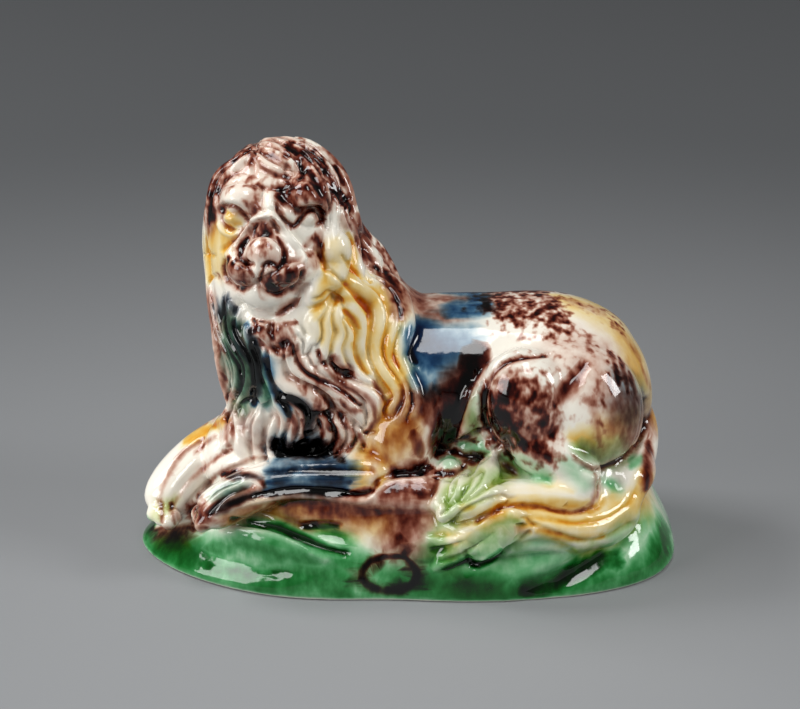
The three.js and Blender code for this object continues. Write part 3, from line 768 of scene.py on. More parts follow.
# Lines cut and pressed into the near side: (half width in pixels, lift in millimetres, then the run of
# pixels)
CARVING = runs(2, [
    # round the thigh, down the fold ahead of it and under the rump
    (2.6, -0.8, 548,354, 520,357, 502,364, 489,378, 484,395, 484,413, 489,431, 498,447, 512,460),
    (2.6, 0.5, 520,352, 498,360, 484,374, 478,392, 478,412, 483,432, 492,450),
    (8, -0.7, 584,364, 573,378, 563,392, 556,410, 558,428), (2.6, -0.7, 478,372, 469,392, 461,414, 455,436),
    (3, -1.2, 646,400, 645,420, 640,440, 629,456, 612,466, 596,472, 584,468),
    (4, 0.4, 566,452, 580,460, 590,472, 594,488, 592,500), (4.5, -0.5, 502,462, 518,473, 536,480, 550,484),
    (5, -0.4, 552,482, 570,489, 590,497),
    (2.6, -0.6, 598,507, 580,512, 560,511, 535,506, 510,506, 492,513, 476,523),
    (3, -0.8, 601,470, 604,487, 602,502, 592,511), (5, -0.6, 610,483, 617,482),
    (2.6, -0.4, 640,480, 630,502, 606,519, 575,523, 545,519, 516,514), (4, -0.4, 506,467, 516,475),
    (3, -0.5, 636,524, 612,538, 585,542, 558,534, 534,526, 512,530),
    # locks of the tail's tuft
    (2.4, -0.7, 524,526, 502,531, 482,545, 462,556, 440,561),
    (2.2, -0.5, 506,521, 482,529, 456,534, 430,534), (2.4, -0.7, 530,533, 512,546, 494,559, 472,566),
    (2.2, 0.4, 518,540, 500,546, 482,560),
    # the ledge's edge, with the hollow behind it
    (2.6, 0.5, 216,513, 252,502, 290,496, 330,498, 366,501, 380,488, 396,481, 424,479),
    (2.6, -0.9, 256,496, 290,490, 330,491, 366,494, 378,482, 394,475, 420,473),
    # furrows and lenses of the rock
    (3.5, -1, 233,521, 269,527, 300,538, 328,549, 346,553),
    (3, 0.6, 238,529, 262,531, 290,541, 314,554, 326,559), (3, -0.6, 304,525, 322,523, 340,525),
    (8, -0.35, 206,562, 230,570, 258,574, 284,571),
    # folds from the chest down over the far foreleg, and the toes
    (3, -0.6, 262,462, 236,468, 210,482, 188,505), (4, -0.4, 230,452, 205,464, 182,486, 170,508),
    (3.6, -0.25, 214,438, 192,450, 174,470), (2.4, -0.6, 252,486, 228,494, 208,514),
    (2.4, -0.6, 238,480, 216,489, 199,506), (3.4, -0.4, 262,471, 300,470, 350,470, 372,471),
    (3, -0.3, 266,486, 300,485, 350,486, 368,485),
    # more furrows of the rock
    (9, -0.9, 628,524, 606,546, 580,566, 550,580, 526,590),
    (3.5, -0.6, 516,549, 530,543, 552,544, 572,550),
    # the eyes: each ball, the creases above and below it, and the folds round them
    (6, 1.5, 231,217, 234,218), (1.8, -0.6, 224,212, 222,219, 226,226, 233,229, 240,226),
    (1.8, -0.9, 221,210, 228,205, 236,206, 243,213, 249,222),
    (2.4, 0.4, 217,206, 226,199, 238,200, 247,207, 253,216), (2.2, 0.5, 219,224, 223,231, 231,235, 241,233),
    (4.8, 1.4, 308,216, 311,218), (5, 0.9, 287,212, 289,216),
    (1.9, -1, 276,204, 281,215, 287,222, 294,226, 300,220, 306,211, 313,209, 319,213, 323,220),
    (1.8, -0.6, 300,223, 306,227, 314,227, 321,222), (3.4, 0.6, 292,208, 302,202, 314,200, 326,207),
    # the brows, the furrow between them and the line above
    (10, 0.8, 236,197, 250,200), (5, 0.6, 270,195, 271,206), (2.2, -0.7, 263,189, 262,202, 264,212),
    (1.8, -0.7, 287,165, 285,174, 290,182),
    (2.2, -0.5, 218,192, 224,184, 244,181, 262,187, 277,189, 292,184),
    # the fold that arches over the nose and runs down beside the lips
    (2.4, 0.9, 228,256, 235,247, 243,237, 248,227, 254,220, 263,216, 272,216, 279,222, 285,232, 293,242,
     300,251, 304,260),
    (2, -0.5, 222,250, 235,240, 243,229, 249,218, 260,211, 276,211, 284,220, 292,233, 305,247),
    (2.2, -0.6, 250,236, 254,227, 263,221, 272,221, 279,231),
    # the nose's rim, the nostrils and the cleft of the lip
    (1.9, -1, 246,262, 240,257, 242,247, 248,238, 257,234, 268,234, 277,239, 283,248, 284,258, 279,266),
    (2.2, -1.3, 244,261, 248,264, 252,265), (2.2, -1.3, 263,267, 268,264, 275,265),
    (1.8, -0.8, 238,259, 246,267, 252,275, 257,283), (1.8, -0.9, 259,282, 262,275, 265,270),
    (1.9, -0.8, 259,284, 270,275, 280,268, 290,261, 299,259),
    # the lips' edge, and under the chin
    (2, -0.8, 224,262, 223,272, 227,282, 236,288, 247,289, 257,285, 266,292, 277,295, 290,290, 300,283,
     303,272),
    (2.5, -0.6, 236,300, 246,312, 258,319, 275,317, 292,307),
])


def creases(places):
    """How deep the skin sinks between the locks of the near side, from nought to one, and how far the
    nearest lock is. The first is a bell over how much nearer the nearest lock is than the next. Distances
    are in half widths."""
    nearest = np.full(len(places), FAR_OFF)
    second = nearest.copy()
    for wide, run in MANE_LOCKS + CROWN_LOCKS + FUR_LEAVES:
        half = wide * FOCAL / STAND_OFF
        inside, distance, share = near_run(places, run, BRUSH_REACH * half)
        distance = distance / (half * swelling(share))
        second[inside] = np.minimum(second[inside], np.maximum(nearest[inside], distance))
        nearest[inside] = np.minimum(nearest[inside], distance)
    return bell((second - nearest) / CREASE_WIDTH) * (1 - step_up(nearest, *FADING)), nearest


# Skin takes none of the carving where its slant from the viewer has a cosine below the first number, and all
# of it above the second
FACING = (-0.1, 0.3)


def carved(corners, normals):
    """Corners moved along their normals by every carved line that reaches them from the front."""
    places = pictured(corners)
    facing = step_up(normals @ view_axes()[2], *FACING)
    lift = sum(amount * stroke(places, run, wide) for wide, amount, run in CARVING)
    lift = lift - CREASE_DEPTH * creases(places)[0]
    return corners + normals * (lift * facing)[:, None]


def hollows(corners, normals, edges):
    """How far each corner lies under the mean of the skin about it, in tenths of a millimetre: below nought
    on a ridge, above it in a crease where glaze gathers."""
    under = np.einsum("ij,ij->i", softened(corners, edges, FLATTENING) - corners, normals)
    return 10 * softened(under[:, None], edges, 4)[:, 0]


def within_box(corners):
    """Corners kept inside the solid's box, by a hair's breadth for the rounding of stored numbers."""
    low, high = (np.array(corner) / MM for corner in CAD_BOX)
    return np.clip(corners, low + HAIR, high - HAIR)


def moulding():
    """Masses and relief fused into one skin of even facets, softened, carved and thinned."""
    forms = as_mesh("clay_forms", *gathered(MASSES + RELIEF))
    fused = with_modifier(forms, "REMESH", mode="VOXEL", voxel_size=FACET * MM, adaptivity=0.0)
    edges = read_rows(fused.edges, "vertices", 2, np.int32)
    corners = read_corners(fused)
    mane = step_up(corners[:, 2], 28, 34) * (1 - step_up(corners[:, 0], -2, 6))
    crisp = np.maximum(mane, 1 - step_up(creases(pictured(corners))[1], 1.5, 3))
    corners = softened(corners, edges, 3)
    corners = softened(corners, edges, 8, SOFTENING * (1 - crisp)[:, None])
    write_corners(fused, corners)
    corners = carved(corners, read_normals(fused))
    corners = softened(corners, edges, 1)
    write_corners(fused, within_box(corners))
    write_depths(fused, "hollow", hollows(read_corners(fused), read_normals(fused), edges))
    facets = len(fused.loops) - 2 * len(fused.polygons)
    narrow = [dab for dab in MANGANESE_AND_PAINTED_SHADE + OCHRE + COPPER + COBALT if dab[0] < NARROW_DAB]
    plain = np.flatnonzero(dabbed(pictured(corners), np.zeros((len(corners), 2)), narrow) < PLAIN)
    thinned = with_modifier(fused, "DECIMATE", plain, ratio=min(1.0, MOST_FACETS / facets))
    write_corners(thinned, within_box(read_corners(thinned)))
    return thinned


# Glaze: where each colour was dabbed on, with some painted shade dabbed into the dark brown where the figure
# shades itself. Each dab is (half width in pixels, depth of colour, then the run of pixels)

MANGANESE_AND_PAINTED_SHADE = runs(2, [
    # the hair of the crown
    (11, 0.6, 206,222, 210,192, 222,166, 240,150), (14, 0.22, 222,172, 240,164, 262,160, 284,168),
    (12, 0.16, 222,190, 240,184, 262,184), (4, 1.3, 233,161, 241,155, 249,150), (3, 0.6, 222,168, 228,160),
    (3, 0.6, 238,144, 250,142, 262,143), (8, 0.5, 262,143, 285,142, 305,150),
    (12, 0.3, 300,158, 318,166, 332,184, 338,200), (8, 2, 309,176, 317,188, 322,204),
    (3.5, 1.14, 299,166, 303,175, 301,182), (3, 0.72, 286,146, 291,155), (3, 0.78, 299,150, 306,158),
    (2.6, 2.2, 300,149, 306,156, 313,163), (2.6, 2.2, 314,157, 321,163, 328,172),
    (2.6, 2.4, 326,172, 332,180, 336,190), (2.6, 2, 334,165, 340,174, 345,184),
    (2.4, 1.8, 285,145, 292,152), (2.4, 2, 308,168, 314,176, 318,186),
    (2.6, 1.8, 338,188, 344,196, 349,206), (2.8, 1.2, 322,146, 334,156, 344,168),
    (2.8, 1.2, 348,182, 352,198, 354,212), (3, 0.9, 352,218, 357,232, 364,248),
    (2.8, 1.5, 216,176, 226,162, 238,150), (2.8, 1.4, 207,196, 210,182, 217,170),
    (2.6, 1.2, 209,214, 213,200, 218,188), (4, 0.5, 334,194, 344,203), (3, 0.84, 343,205, 351,209),
    (2.8, 0.9, 256,155, 262,166, 276,174, 290,177), (2.8, 0.8, 262,152, 276,156, 290,166),
    (2.8, 0.8, 252,158, 246,169, 233,176, 222,180, 215,190), (2.6, 0.54, 248,179, 256,177),
    (4, 1.2, 346,168, 352,184, 356,204), (3.4, 1.3, 358,214, 361,230, 368,244),
    # the brows and the eyes
    (3.4, 0.42, 262,187, 276,190, 292,186), (11, 1, 280,192, 296,194, 314,186),
    # the dark band under the right brow is dark brown glaze deepened into painted shade
    (7, 1.1, 279,200, 290,204, 300,208), (3.2, 0.9, 277,204, 282,214),
    (2.4, 1.2, 281,215, 287,222, 294,226, 300,219, 307,212, 314,211),
    (2.4, 1.08, 316,215, 319,223, 324,218), (4, 1.5, 325,214, 326,200, 324,188),
    (2, 0.3, 224,212, 222,219, 227,226, 234,229), (4, 1.3, 218,207, 223,213),
    (1.8, 0.6, 228,206, 236,206, 243,213, 248,221), (1.8, 0.42, 250,221, 244,231, 236,242, 228,251),
    (10, 0.3, 238,206, 258,204), (6, 0.5, 254,212, 250,200, 256,190),
    # the nose and the lips
    (15, 0.55, 262,224, 264,238), (15, 0.4, 238,262, 262,256, 286,264), (7, 0.7, 248,257, 262,259, 277,254),
    (13, 0.35, 254,254, 268,252), (2.6, 1.6, 240,257, 242,247, 248,239),
    (2.8, 2, 278,238, 284,248, 283,260, 278,267), (3.2, 0.72, 272,221, 277,233),
    (2.8, 1.44, 243,262, 248,265), (3.2, 1.44, 263,267, 270,264, 276,266), (2.4, 1.4, 263,271, 260,281),
    (2, 1.2, 246,268, 254,278), (8, 1.2, 231,270, 237,280, 250,284), (6, 1.3, 226,268, 229,276),
    (3, 0.66, 229,257, 225,268), (11, 1.5, 268,285, 284,278, 295,268), (5, 1.3, 287,281, 295,271),
    (4, 1.3, 272,290, 282,289), (2, 0.48, 303,262, 304,280), (3, 0.48, 305,245, 312,238),
    (7, 0.35, 320,232, 318,250, 314,264),
    # the beard
    (4, 0.8, 279,312, 288,306, 297,301), (14, 0.95, 262,330, 276,338, 289,340),
    (2.6, 1.7, 254,320, 263,332, 270,346, 284,356, 297,349), (2.6, 1.4, 262,321, 280,325, 297,322),
    (2.4, 1.3, 276,328, 284,342, 295,345), (2.4, 1.2, 290,326, 296,338),
    # the dark valleys of the mane's strands, and its far edge
    (12, 0.5, 224,316, 236,348, 245,380, 248,402), (9, 1.2, 222,303, 222,318),
    (6, 0.9, 216,306, 222,318, 223,328), (4, 1, 236,330, 246,352, 256,372),
    (5, 1.2, 249,330, 256,362, 254,400), (3, 0.7, 266,372, 280,398, 290,414),
    (8, 1, 207,292, 208,320, 214,345), (8, 0.8, 221,346, 224,370, 222,392), (3.4, 1.6, 219,346, 225,352),
    (3.4, 1.4, 222,374, 228,380), (5, 0.9, 226,397, 238,394), (5, 0.6, 222,412, 228,430, 229,446),
    # the locks over the chest, and the dark under their hem, which is painted shade
    (15, 0.34, 234,414, 250,432, 264,450), (30, 0.18, 296,376, 326,396, 350,414, 318,430, 288,424),
    (3.2, 1.7, 297,345, 299,362, 309,375, 326,384, 345,394, 360,404),
    (2.8, 1.5, 318,352, 325,368, 338,381, 356,391, 372,402, 376,418, 366,432),
    (5, 2.2, 333,358, 341,369, 351,377), (2.8, 1.8, 340,400, 352,410, 361,411), (3, 0.66, 315,386, 328,390),
    (7, 0.6, 318,400, 332,408), (4.5, 2.6, 278,398, 296,401, 309,413, 309,432),
    (4.5, 2.2, 316,412, 326,416, 331,430), (2.4, 1.8, 290,412, 297,427, 292,442),
    (2.4, 1.8, 303,420, 305,434, 298,446), (2.4, 1.8, 318,420, 324,432, 320,445),
    (2.4, 1.6, 333,424, 338,437, 332,450), (2.4, 1.4, 349,426, 354,439, 347,452),
    (2.4, 1.4, 360,434, 364,446), (4, 1.2, 340,414, 347,427), (3, 0.66, 374,382, 382,398, 380,416, 368,430),
    # the first dab here is painted shade under the mane's hem
    (8, 3, 274,446, 300,453, 330,449), (4, 0.9, 340,440, 338,456, 344,462), (6, 0.35, 248,428, 262,424),
    # the neck's far edge, the withers and the back
    (4, 0.8, 356,236, 364,254, 378,270), (6, 1.4, 384,272, 394,290, 399,306, 397,318),
    (4, 0.7, 342,216, 350,228), (10, 0.6, 402,292, 420,304, 438,320), (5, 0.7, 410,292, 440,297, 474,298),
    (3, 0.48, 480,298, 520,295, 560,299),
    # the flank's hollow, dark behind the elbow: dark brown glaze deepened into painted shade there and where
    # the elbow meets the ledge
    (10, 0.8, 402,390, 405,414), (9, 1.6, 420,402, 438,398, 452,390), (12, 1.3, 410,396, 424,410, 434,424),
    (8, 3.8, 480,344, 471,368, 460,402, 449,440), (8, 3.4, 444,408, 440,430, 441,450),
    # the last dab here is painted shade where the elbow rests on the ledge
    (5, 2.2, 414,432, 419,446, 420,456), (5, 0.8, 431,420, 434,440), (8, 3, 388,471, 412,470, 430,471),
    (3, 1.6, 436,474, 450,474, 462,468), (2.6, 1.2, 456,436, 466,437, 474,441),
    (3.4, 1.44, 452,450, 466,456, 481,459), (5, 2, 466,462, 478,455), (14, 0.5, 270,474, 310,474, 358,476),
    (22, 0.55, 376,456, 396,440, 414,420), (4, 0.9, 371,468, 377,488),
    # the thigh's groove and outline, the rump and the tail's root
    (8, 1.1, 582,366, 571,382, 560,400),
    (2.6, 1, 546,356, 520,360, 500,368, 488,384, 484,404, 489,428, 500,446),
    (10, 0.8, 508,376, 497,402, 502,434), (2.6, 1.7, 610,352, 616,368, 617,386),
    (2.4, 1.5, 619,358, 624,374, 626,392), (2.4, 1.2, 607,374, 611,392),
    (2.4, 1.2, 628,372, 633,388, 637,404), (5, 0.5, 594,396, 598,420, 600,444),
    (26, 0.24, 560,340, 606,370, 612,410), (24, 0.5, 514,392, 524,420, 534,446),
    (6, 0.5, 610,390, 614,412, 614,432), (17, 0.95, 620,396, 634,420, 632,440),
    (12, 0.2, 584,450, 610,452, 630,442), (5, 0.5, 584,398, 594,402), (3, 0.54, 566,300, 590,306, 606,315),
    (2.6, 0.3, 612,324, 628,341, 641,362), (2.6, 0.3, 641,364, 650,388), (4, 0.8, 590,334, 586,350),
    (2.6, 0.72, 574,456, 592,467, 612,462, 632,450, 642,432, 645,412), (5, 1.6, 650,444, 648,470, 643,488),
    (2.6, 0.66, 594,474, 598,490, 593,505), (2.4, 0.35, 592,508, 572,512, 548,510),
    (2.2, 0.35, 548,508, 520,506, 492,512, 476,522), (4, 0.4, 503,464, 512,471),
    (3.4, 0.2, 512,530, 536,530, 560,533),
    # the ledge's front, with a run down to a ring
    (9, 0.55, 222,520, 250,510, 282,505), (8, 1.1, 276,502, 312,500, 345,503, 372,504),
    (13, 1.5, 382,494, 404,490, 426,492), (12, 0.6, 290,514, 322,520), (11, 1.2, 312,510, 346,512, 384,514),
    (22, 0.95, 388,504, 402,514, 404,532), (4, 0.9, 436,480, 432,496), (6, 2, 402,538, 405,556),
    (20, 0.5, 386,538, 410,548),
    (3.4, 3, 404,557, 388,556, 371,560, 362,572, 367,585, 384,591, 402,590, 414,581, 416,569, 406,557),
    (4.5, 2, 392,590, 410,586),
    # streaks down the far foreleg, and pools about the paws, with painted shade under the paws and the near
    # foreleg where they rest on the ledge
    (2.8, 1.7, 222,476, 240,472, 258,478, 264,487), (4, 1.3, 206,509, 224,501, 244,493, 262,489),
    (2.2, 0.42, 205,437, 180,455, 166,480, 158,502), (2.4, 0.48, 232,450, 206,467, 186,486, 174,506),
    (2.2, 0.42, 262,455, 240,463, 216,476, 198,494), (2.2, 0.36, 216,436, 196,452),
    # the second dab here is a painted shadow line under the far paw
    (8, 2, 192,508, 203,514, 200,522), (3.6, 1.14, 152,529, 180,530, 206,528), (8, 1.2, 158,534, 188,537),
    # the second dab here is painted shade under the near paw
    (2.8, 1.32, 226,478, 244,475, 262,478), (4, 2.4, 212,514, 232,503, 256,494), (9, 0.3, 212,500, 246,486),
    # the first dab here is painted shade under the near foreleg
    (3.6, 1.9, 256,494, 300,493, 350,495, 374,491), (2.4, 0.9, 198,494, 204,504),
    (2.2, 0.9, 161,500, 163,522), (2.2, 0.9, 172,502, 176,524), (2.4, 0.48, 176,508, 180,520),
])
SPONGED_MANGANESE = runs(2, [
    (20, 0.78, 490,306, 520,310, 548,316, 562,326), (8, 0.55, 552,336, 556,345),
    (8, 0.45, 584,332, 590,350), (24, 1, 510,386, 503,412, 511,442), (20, 0.85, 532,386, 544,406, 546,434),
    (14, 1, 526,446, 550,460), (34, 0.2, 520,400, 528,440), (9, 0.55, 608,356, 616,374, 626,394),
    (8, 0.4, 600,400, 608,430), (5, 0.3, 572,300, 604,312, 628,340),
    (15, 0.85, 286,148, 312,160, 332,182, 343,208), (11, 0.72, 207,216, 213,186, 232,160, 256,146),
    (13, 0.85, 280,198, 296,190, 314,190), (10, 0.45, 240,176, 262,184, 280,180),
    (14, 0.8, 258,228, 268,236), (12, 0.38, 254,256, 270,250), (11, 0.8, 231,264, 247,282),
    (12, 0.9, 270,285, 294,268), (9, 0.42, 244,204, 258,208), (9, 0.6, 316,234, 317,260),
    (6, 0.5, 372,264, 392,284, 402,306), (8, 0.55, 372,238, 384,258, 396,276), (13, 0.7, 262,328, 284,344),
    (26, 0.2, 300,384, 340,410), (24, 0.12, 530,345, 590,380, 600,420),
])
OCHRE = runs(2, [
    (8, 0.6, 214,226, 210,250, 212,275), (10, 0.6, 230,232, 224,250, 216,274), (7, 1.3, 230,217, 235,219),
    (12, 0.5, 336,246, 336,262, 331,284), (7, 0.9, 324,280, 322,300, 316,318),
    (13, 0.45, 332,298, 328,322, 330,344), (18, 0.7, 350,286, 370,298, 382,322, 384,346, 392,372, 400,398),
    (12, 0.6, 346,320, 352,345, 364,372), (8, 0.5, 354,316, 362,334, 372,354),
    (10, 1, 390,400, 386,420, 382,434), (9, 0.8, 402,394, 406,416),
    (4, 1.8, 340,298, 352,298, 362,303, 367,314), (3.4, 1.6, 344,310, 353,316, 360,328),
    (5, 0.9, 374,346, 376,362, 386,380, 396,396), (5, 1.2, 350,264, 353,277, 345,284),
    (6, 0.8, 324,284, 338,289, 348,292), (4, 1.7, 352,344, 358,362, 367,373),
    (4, 1.7, 388,338, 390,352, 397,366), (3, 1.6, 341,288, 335,304),
    (9, 0.6, 562,302, 600,314, 630,346, 648,392, 655,424), (20, 0.95, 368,455, 392,445, 410,420),
    (5, 0.9, 376,440, 380,462, 378,486), (9, 0.8, 574,436, 592,444), (16, 0.45, 590,440, 616,436, 634,420),
    (24, 0.28, 450,518, 470,495, 500,474), (22, 0.35, 436,548, 480,535, 524,524),
    (12, 0.35, 462,400, 472,430), (6, 0.8, 589,502, 560,502, 525,501, 496,505, 474,511),
    (7, 0.16, 572,486, 540,489, 505,492),
    (15, 0.85, 644,480, 634,504, 608,522, 575,526, 540,518, 505,516, 486,523),
    (4, 1.1, 604,514, 575,523, 548,517), (5, 1.8, 602,536, 570,538, 536,532),
    (5, 1.1, 184,442, 204,430, 223,419), (14, 0.5, 230,516, 262,512, 300,514, 345,522, 392,520),
    (7, 0.9, 160,543, 186,546), (10, 0.5, 575,552, 600,552), (5, 0.8, 462,507, 475,504),
    (9, 0.6, 470,534, 500,527), (10, 0.9, 358,464, 367,476, 362,488), (10, 0.3, 154,512, 176,500),
    # the edges of the roll beside the cheek
    (2.6, 0.9, 324,244, 323,262, 325,282), (3, 0.8, 348,234, 355,254, 354,276),
])
COPPER = runs(2, [
    # the ground
    (26, 1.75, 140,556, 180,566, 240,580, 330,590, 430,594, 530,594, 630,580, 670,552),
    (19, 1.45, 216,544, 280,552, 330,560, 360,562), (8, 0.8, 326,534, 350,546),
    (20, 0.62, 434,548, 450,562, 520,562, 590,562), (16, 0.45, 600,556, 640,536, 662,512),
    (10, 2.2, 146,522, 144,545, 156,562), (8, 2.2, 208,566, 232,571, 256,573), (5, 1.8, 272,571, 290,573),
    (13, 2.7, 520,592, 556,584, 590,568, 612,556), (7, 2.2, 664,530, 668,556),
    (7, 1.9, 425,582, 460,584, 500,584), (4, 2.3, 446,566, 464,561, 480,566, 500,552),
    (4.5, 2.6, 250,523, 284,530, 318,544, 344,554), (3, 1.2, 304,527, 320,527, 336,526),
    # the fur over the hind paw, the leaves ahead of the thigh and the tuft
    (15, 0.26, 446,522, 456,500, 478,486, 500,470), (10, 0.36, 476,396, 470,412, 474,432),
    (8, 0.55, 464,446, 482,450), (8, 0.5, 446,462, 455,463), (9, 0.4, 504,452, 524,466, 546,476),
    (12, 0.55, 476,542, 500,534), (12, 0.75, 430,558, 452,560, 480,556), (5, 0.4, 520,522, 490,526),
    # the mane's strands beyond the beard, the paws and the rump
    (10, 0.72, 224,316, 236,348, 245,380, 246,402), (9, 0.35, 246,402, 240,416),
    (8, 0.5, 240,340, 252,360, 260,386, 267,404), (8, 0.22, 212,498, 244,484), (10, 0.18, 156,512, 176,500),
    (12, 0.3, 578,450, 604,454, 632,444), (5, 0.6, 642,456, 630,465), (6, 0.35, 604,482, 618,492),
    (8, 0.22, 560,462, 580,470, 592,486),
])
COBALT = runs(2, [
    # valleys of the mane, and under its hem
    (12, 0.12, 236,414, 250,430, 262,446),
    (9, 1.9, 222,303, 222,318), (10, 0.66, 224,316, 236,348, 245,380, 248,402), (9, 0.3, 256,384, 268,408),
    (3.4, 1.8, 234,322, 236,340, 246,356, 256,372), (5, 2.2, 248,326, 252,345, 257,365, 254,392, 254,405),
    (6, 2.4, 265,356, 268,380), (4, 2.2, 268,382, 280,399, 290,414),
    (4, 2, 282,396, 300,402, 311,416, 306,438), (11, 2.4, 276,446, 300,454, 326,452),
    # the near foreleg
    (10, 1.5, 272,466, 310,466, 346,467), (14, 2.3, 270,475, 310,475, 346,475),
    (4, 2.6, 266,482, 300,481, 350,482), (7, 2.2, 266,489, 320,490, 346,489),
    (4, 1.2, 212,513, 234,502, 258,493), (8, 0.3, 214,498, 246,485), (3, 1, 228,477, 246,475, 262,479),
    (6, 0.5, 350,470, 360,474), (16, 0.5, 618,380, 630,400, 634,424),
    # the flank
    (20, 1.7, 422,336, 434,352, 444,370), (10, 1.2, 414,378, 424,388, 436,390), (10, 1.5, 444,314, 474,312),
    (9, 2.2, 470,312, 486,309), (14, 0.9, 470,336, 450,364), (5, 2, 411,328, 411,350, 417,363),
])

# A dab below this half width, in pixels, needs the skin's finest facets where it is deeper than plain
NARROW_DAB = 6.0
PLAIN = 0.2
# A dab at least this wide, in pixels, creeps freely
FREE_CREEP = 12.0
# The hollow, in tenths of a millimetre, that counts as one
HOLLOW = 1.25
# The most that a hollow or a ridge counts for
MOST_POOLED = 1.5
# The foot was wiped bare of green below the first of these heights, in millimetres, and partly to the second
BARE_FOOT = (0.3, 1.1)
# Each colour's dabs, how strongly it gathers in hollows, and the deepest that it gets
GLAZES = {
    "manganese_and_painted_shade": (MANGANESE_AND_PAINTED_SHADE, 0.5, 4.0),
    "sponged": (SPONGED_MANGANESE, 0.12, 1.3),
    "ochre": (OCHRE, 0.55, 2.4),
    "copper": (COPPER, 0.4, 3.2),
    "cobalt": (COBALT, 0.6, 4.0),
}


def wander(corners):
    """How far each corner's glaze has crept before it set, in pixels across and down: sines along seeded
    directions, at three wave lengths in millimetres."""
    seeded = np.random.default_rng(11)
    crept = np.zeros((len(corners), 2))
    for length, reach in ((14.0, 1.8), (6.0, 1.3), (2.6, 0.9)):
        for axis in (0, 1):
            for way in unit(seeded.normal(size=(3, 3))):
                crept[:, axis] += reach * np.sin(2 * np.pi * (corners @ way / length + seeded.random()))
    return crept


def dabbed(places, crept, dabs):
    """Depth of a colour at places on the picture: the greatest over its dabs, each a bell across its run
    that narrows to the ends. A narrow dab creeps less than a broad one."""
    depth = np.zeros(len(places))
    for wide, amount, run in dabs:
        moved = places + crept * min(1.0, wide / FREE_CREEP)
        inside, distance, share = near_run(moved, run, FADING[1] * wide, steps=2)
        distance = distance / (wide * (1 - 0.4 * (2 * share - 1) ** 4))
        touch = amount * bell(distance) * (1 - step_up(distance, *FADING))
        depth[inside] = np.maximum(depth[inside], touch)
    return depth


def glaze(mesh):
    """Writes each colour's depth into the mesh. The far side is dabbed as the near side is, mirrored.
    Colour is thin over ridges and pools in creases."""
    corners = read_corners(mesh)
    pooled = read_rows(mesh.attributes["hollow"].data, "value", 1)[:, 0]
    pooled = np.clip(pooled / HOLLOW, -MOST_POOLED, MOST_POOLED)
    middle = LION_PLACE[1] + FOOT_SHIFT[1]
    near = corners.copy()
    near[:, 1] = middle - np.abs(near[:, 1] - middle)
    places = pictured(near)
    crept = wander(corners)
    for name, (dabs, gathering, deepest) in GLAZES.items():
        depth = np.minimum(dabbed(places, crept, dabs) * np.exp(gathering * pooled), deepest)
        if name == "copper":
            depth = depth * step_up(corners[:, 2], *BARE_FOOT)
        write_depths(mesh, name, depth)


def linear(hex_colour):
    """An sRGB hex colour as linear red, green and blue."""
    value = np.array([int(hex_colour[i : i + 2], 16) for i in (1, 3, 5)]) / 255
    return np.where(value <= 0.04045, value / 12.92, ((value + 0.055) / 1.055) ** 2.4)


# Tones of the paper: about the lion, and far off, where it is painted darker as painted shade
PAPER_NEAR = "#8F9193"
PAPER_IN_PAINTED_SHADE = "#535557"
CREAM = "#F1ECDF"
# What one full depth of each colour looks like over the cream body
FULL_DEPTH = {
    "manganese_and_painted_shade": "#723B2C",
    "ochre": "#DDA846",
    "copper": "#3E8B4F",
    "cobalt": "#3B5F7B",
}


def add_node(tree, kind, inputs=(), out=0, **settings):
    """Adds a shader node of a kind with its settings, links or gives values to its inputs, and returns one
    output."""
    made = tree.nodes.new("ShaderNode" + kind)
    for name, value in settings.items():
        setattr(made, name, value)
    for place, source in dict(inputs).items():
        if isinstance(source, bpy.types.NodeSocket):
            tree.links.new(source, made.inputs[place])
        else:
            made.inputs[place].default_value = source
    return made.outputs[out]


def begun(name, roughness):
    """A new material with its tree and the inputs of its shader."""
    material = bpy.data.materials.new(name)
    material.use_nodes = True
    inputs = material.node_tree.nodes["Principled BSDF"].inputs
    inputs["Roughness"].default_value = roughness
    return material, material.node_tree, inputs


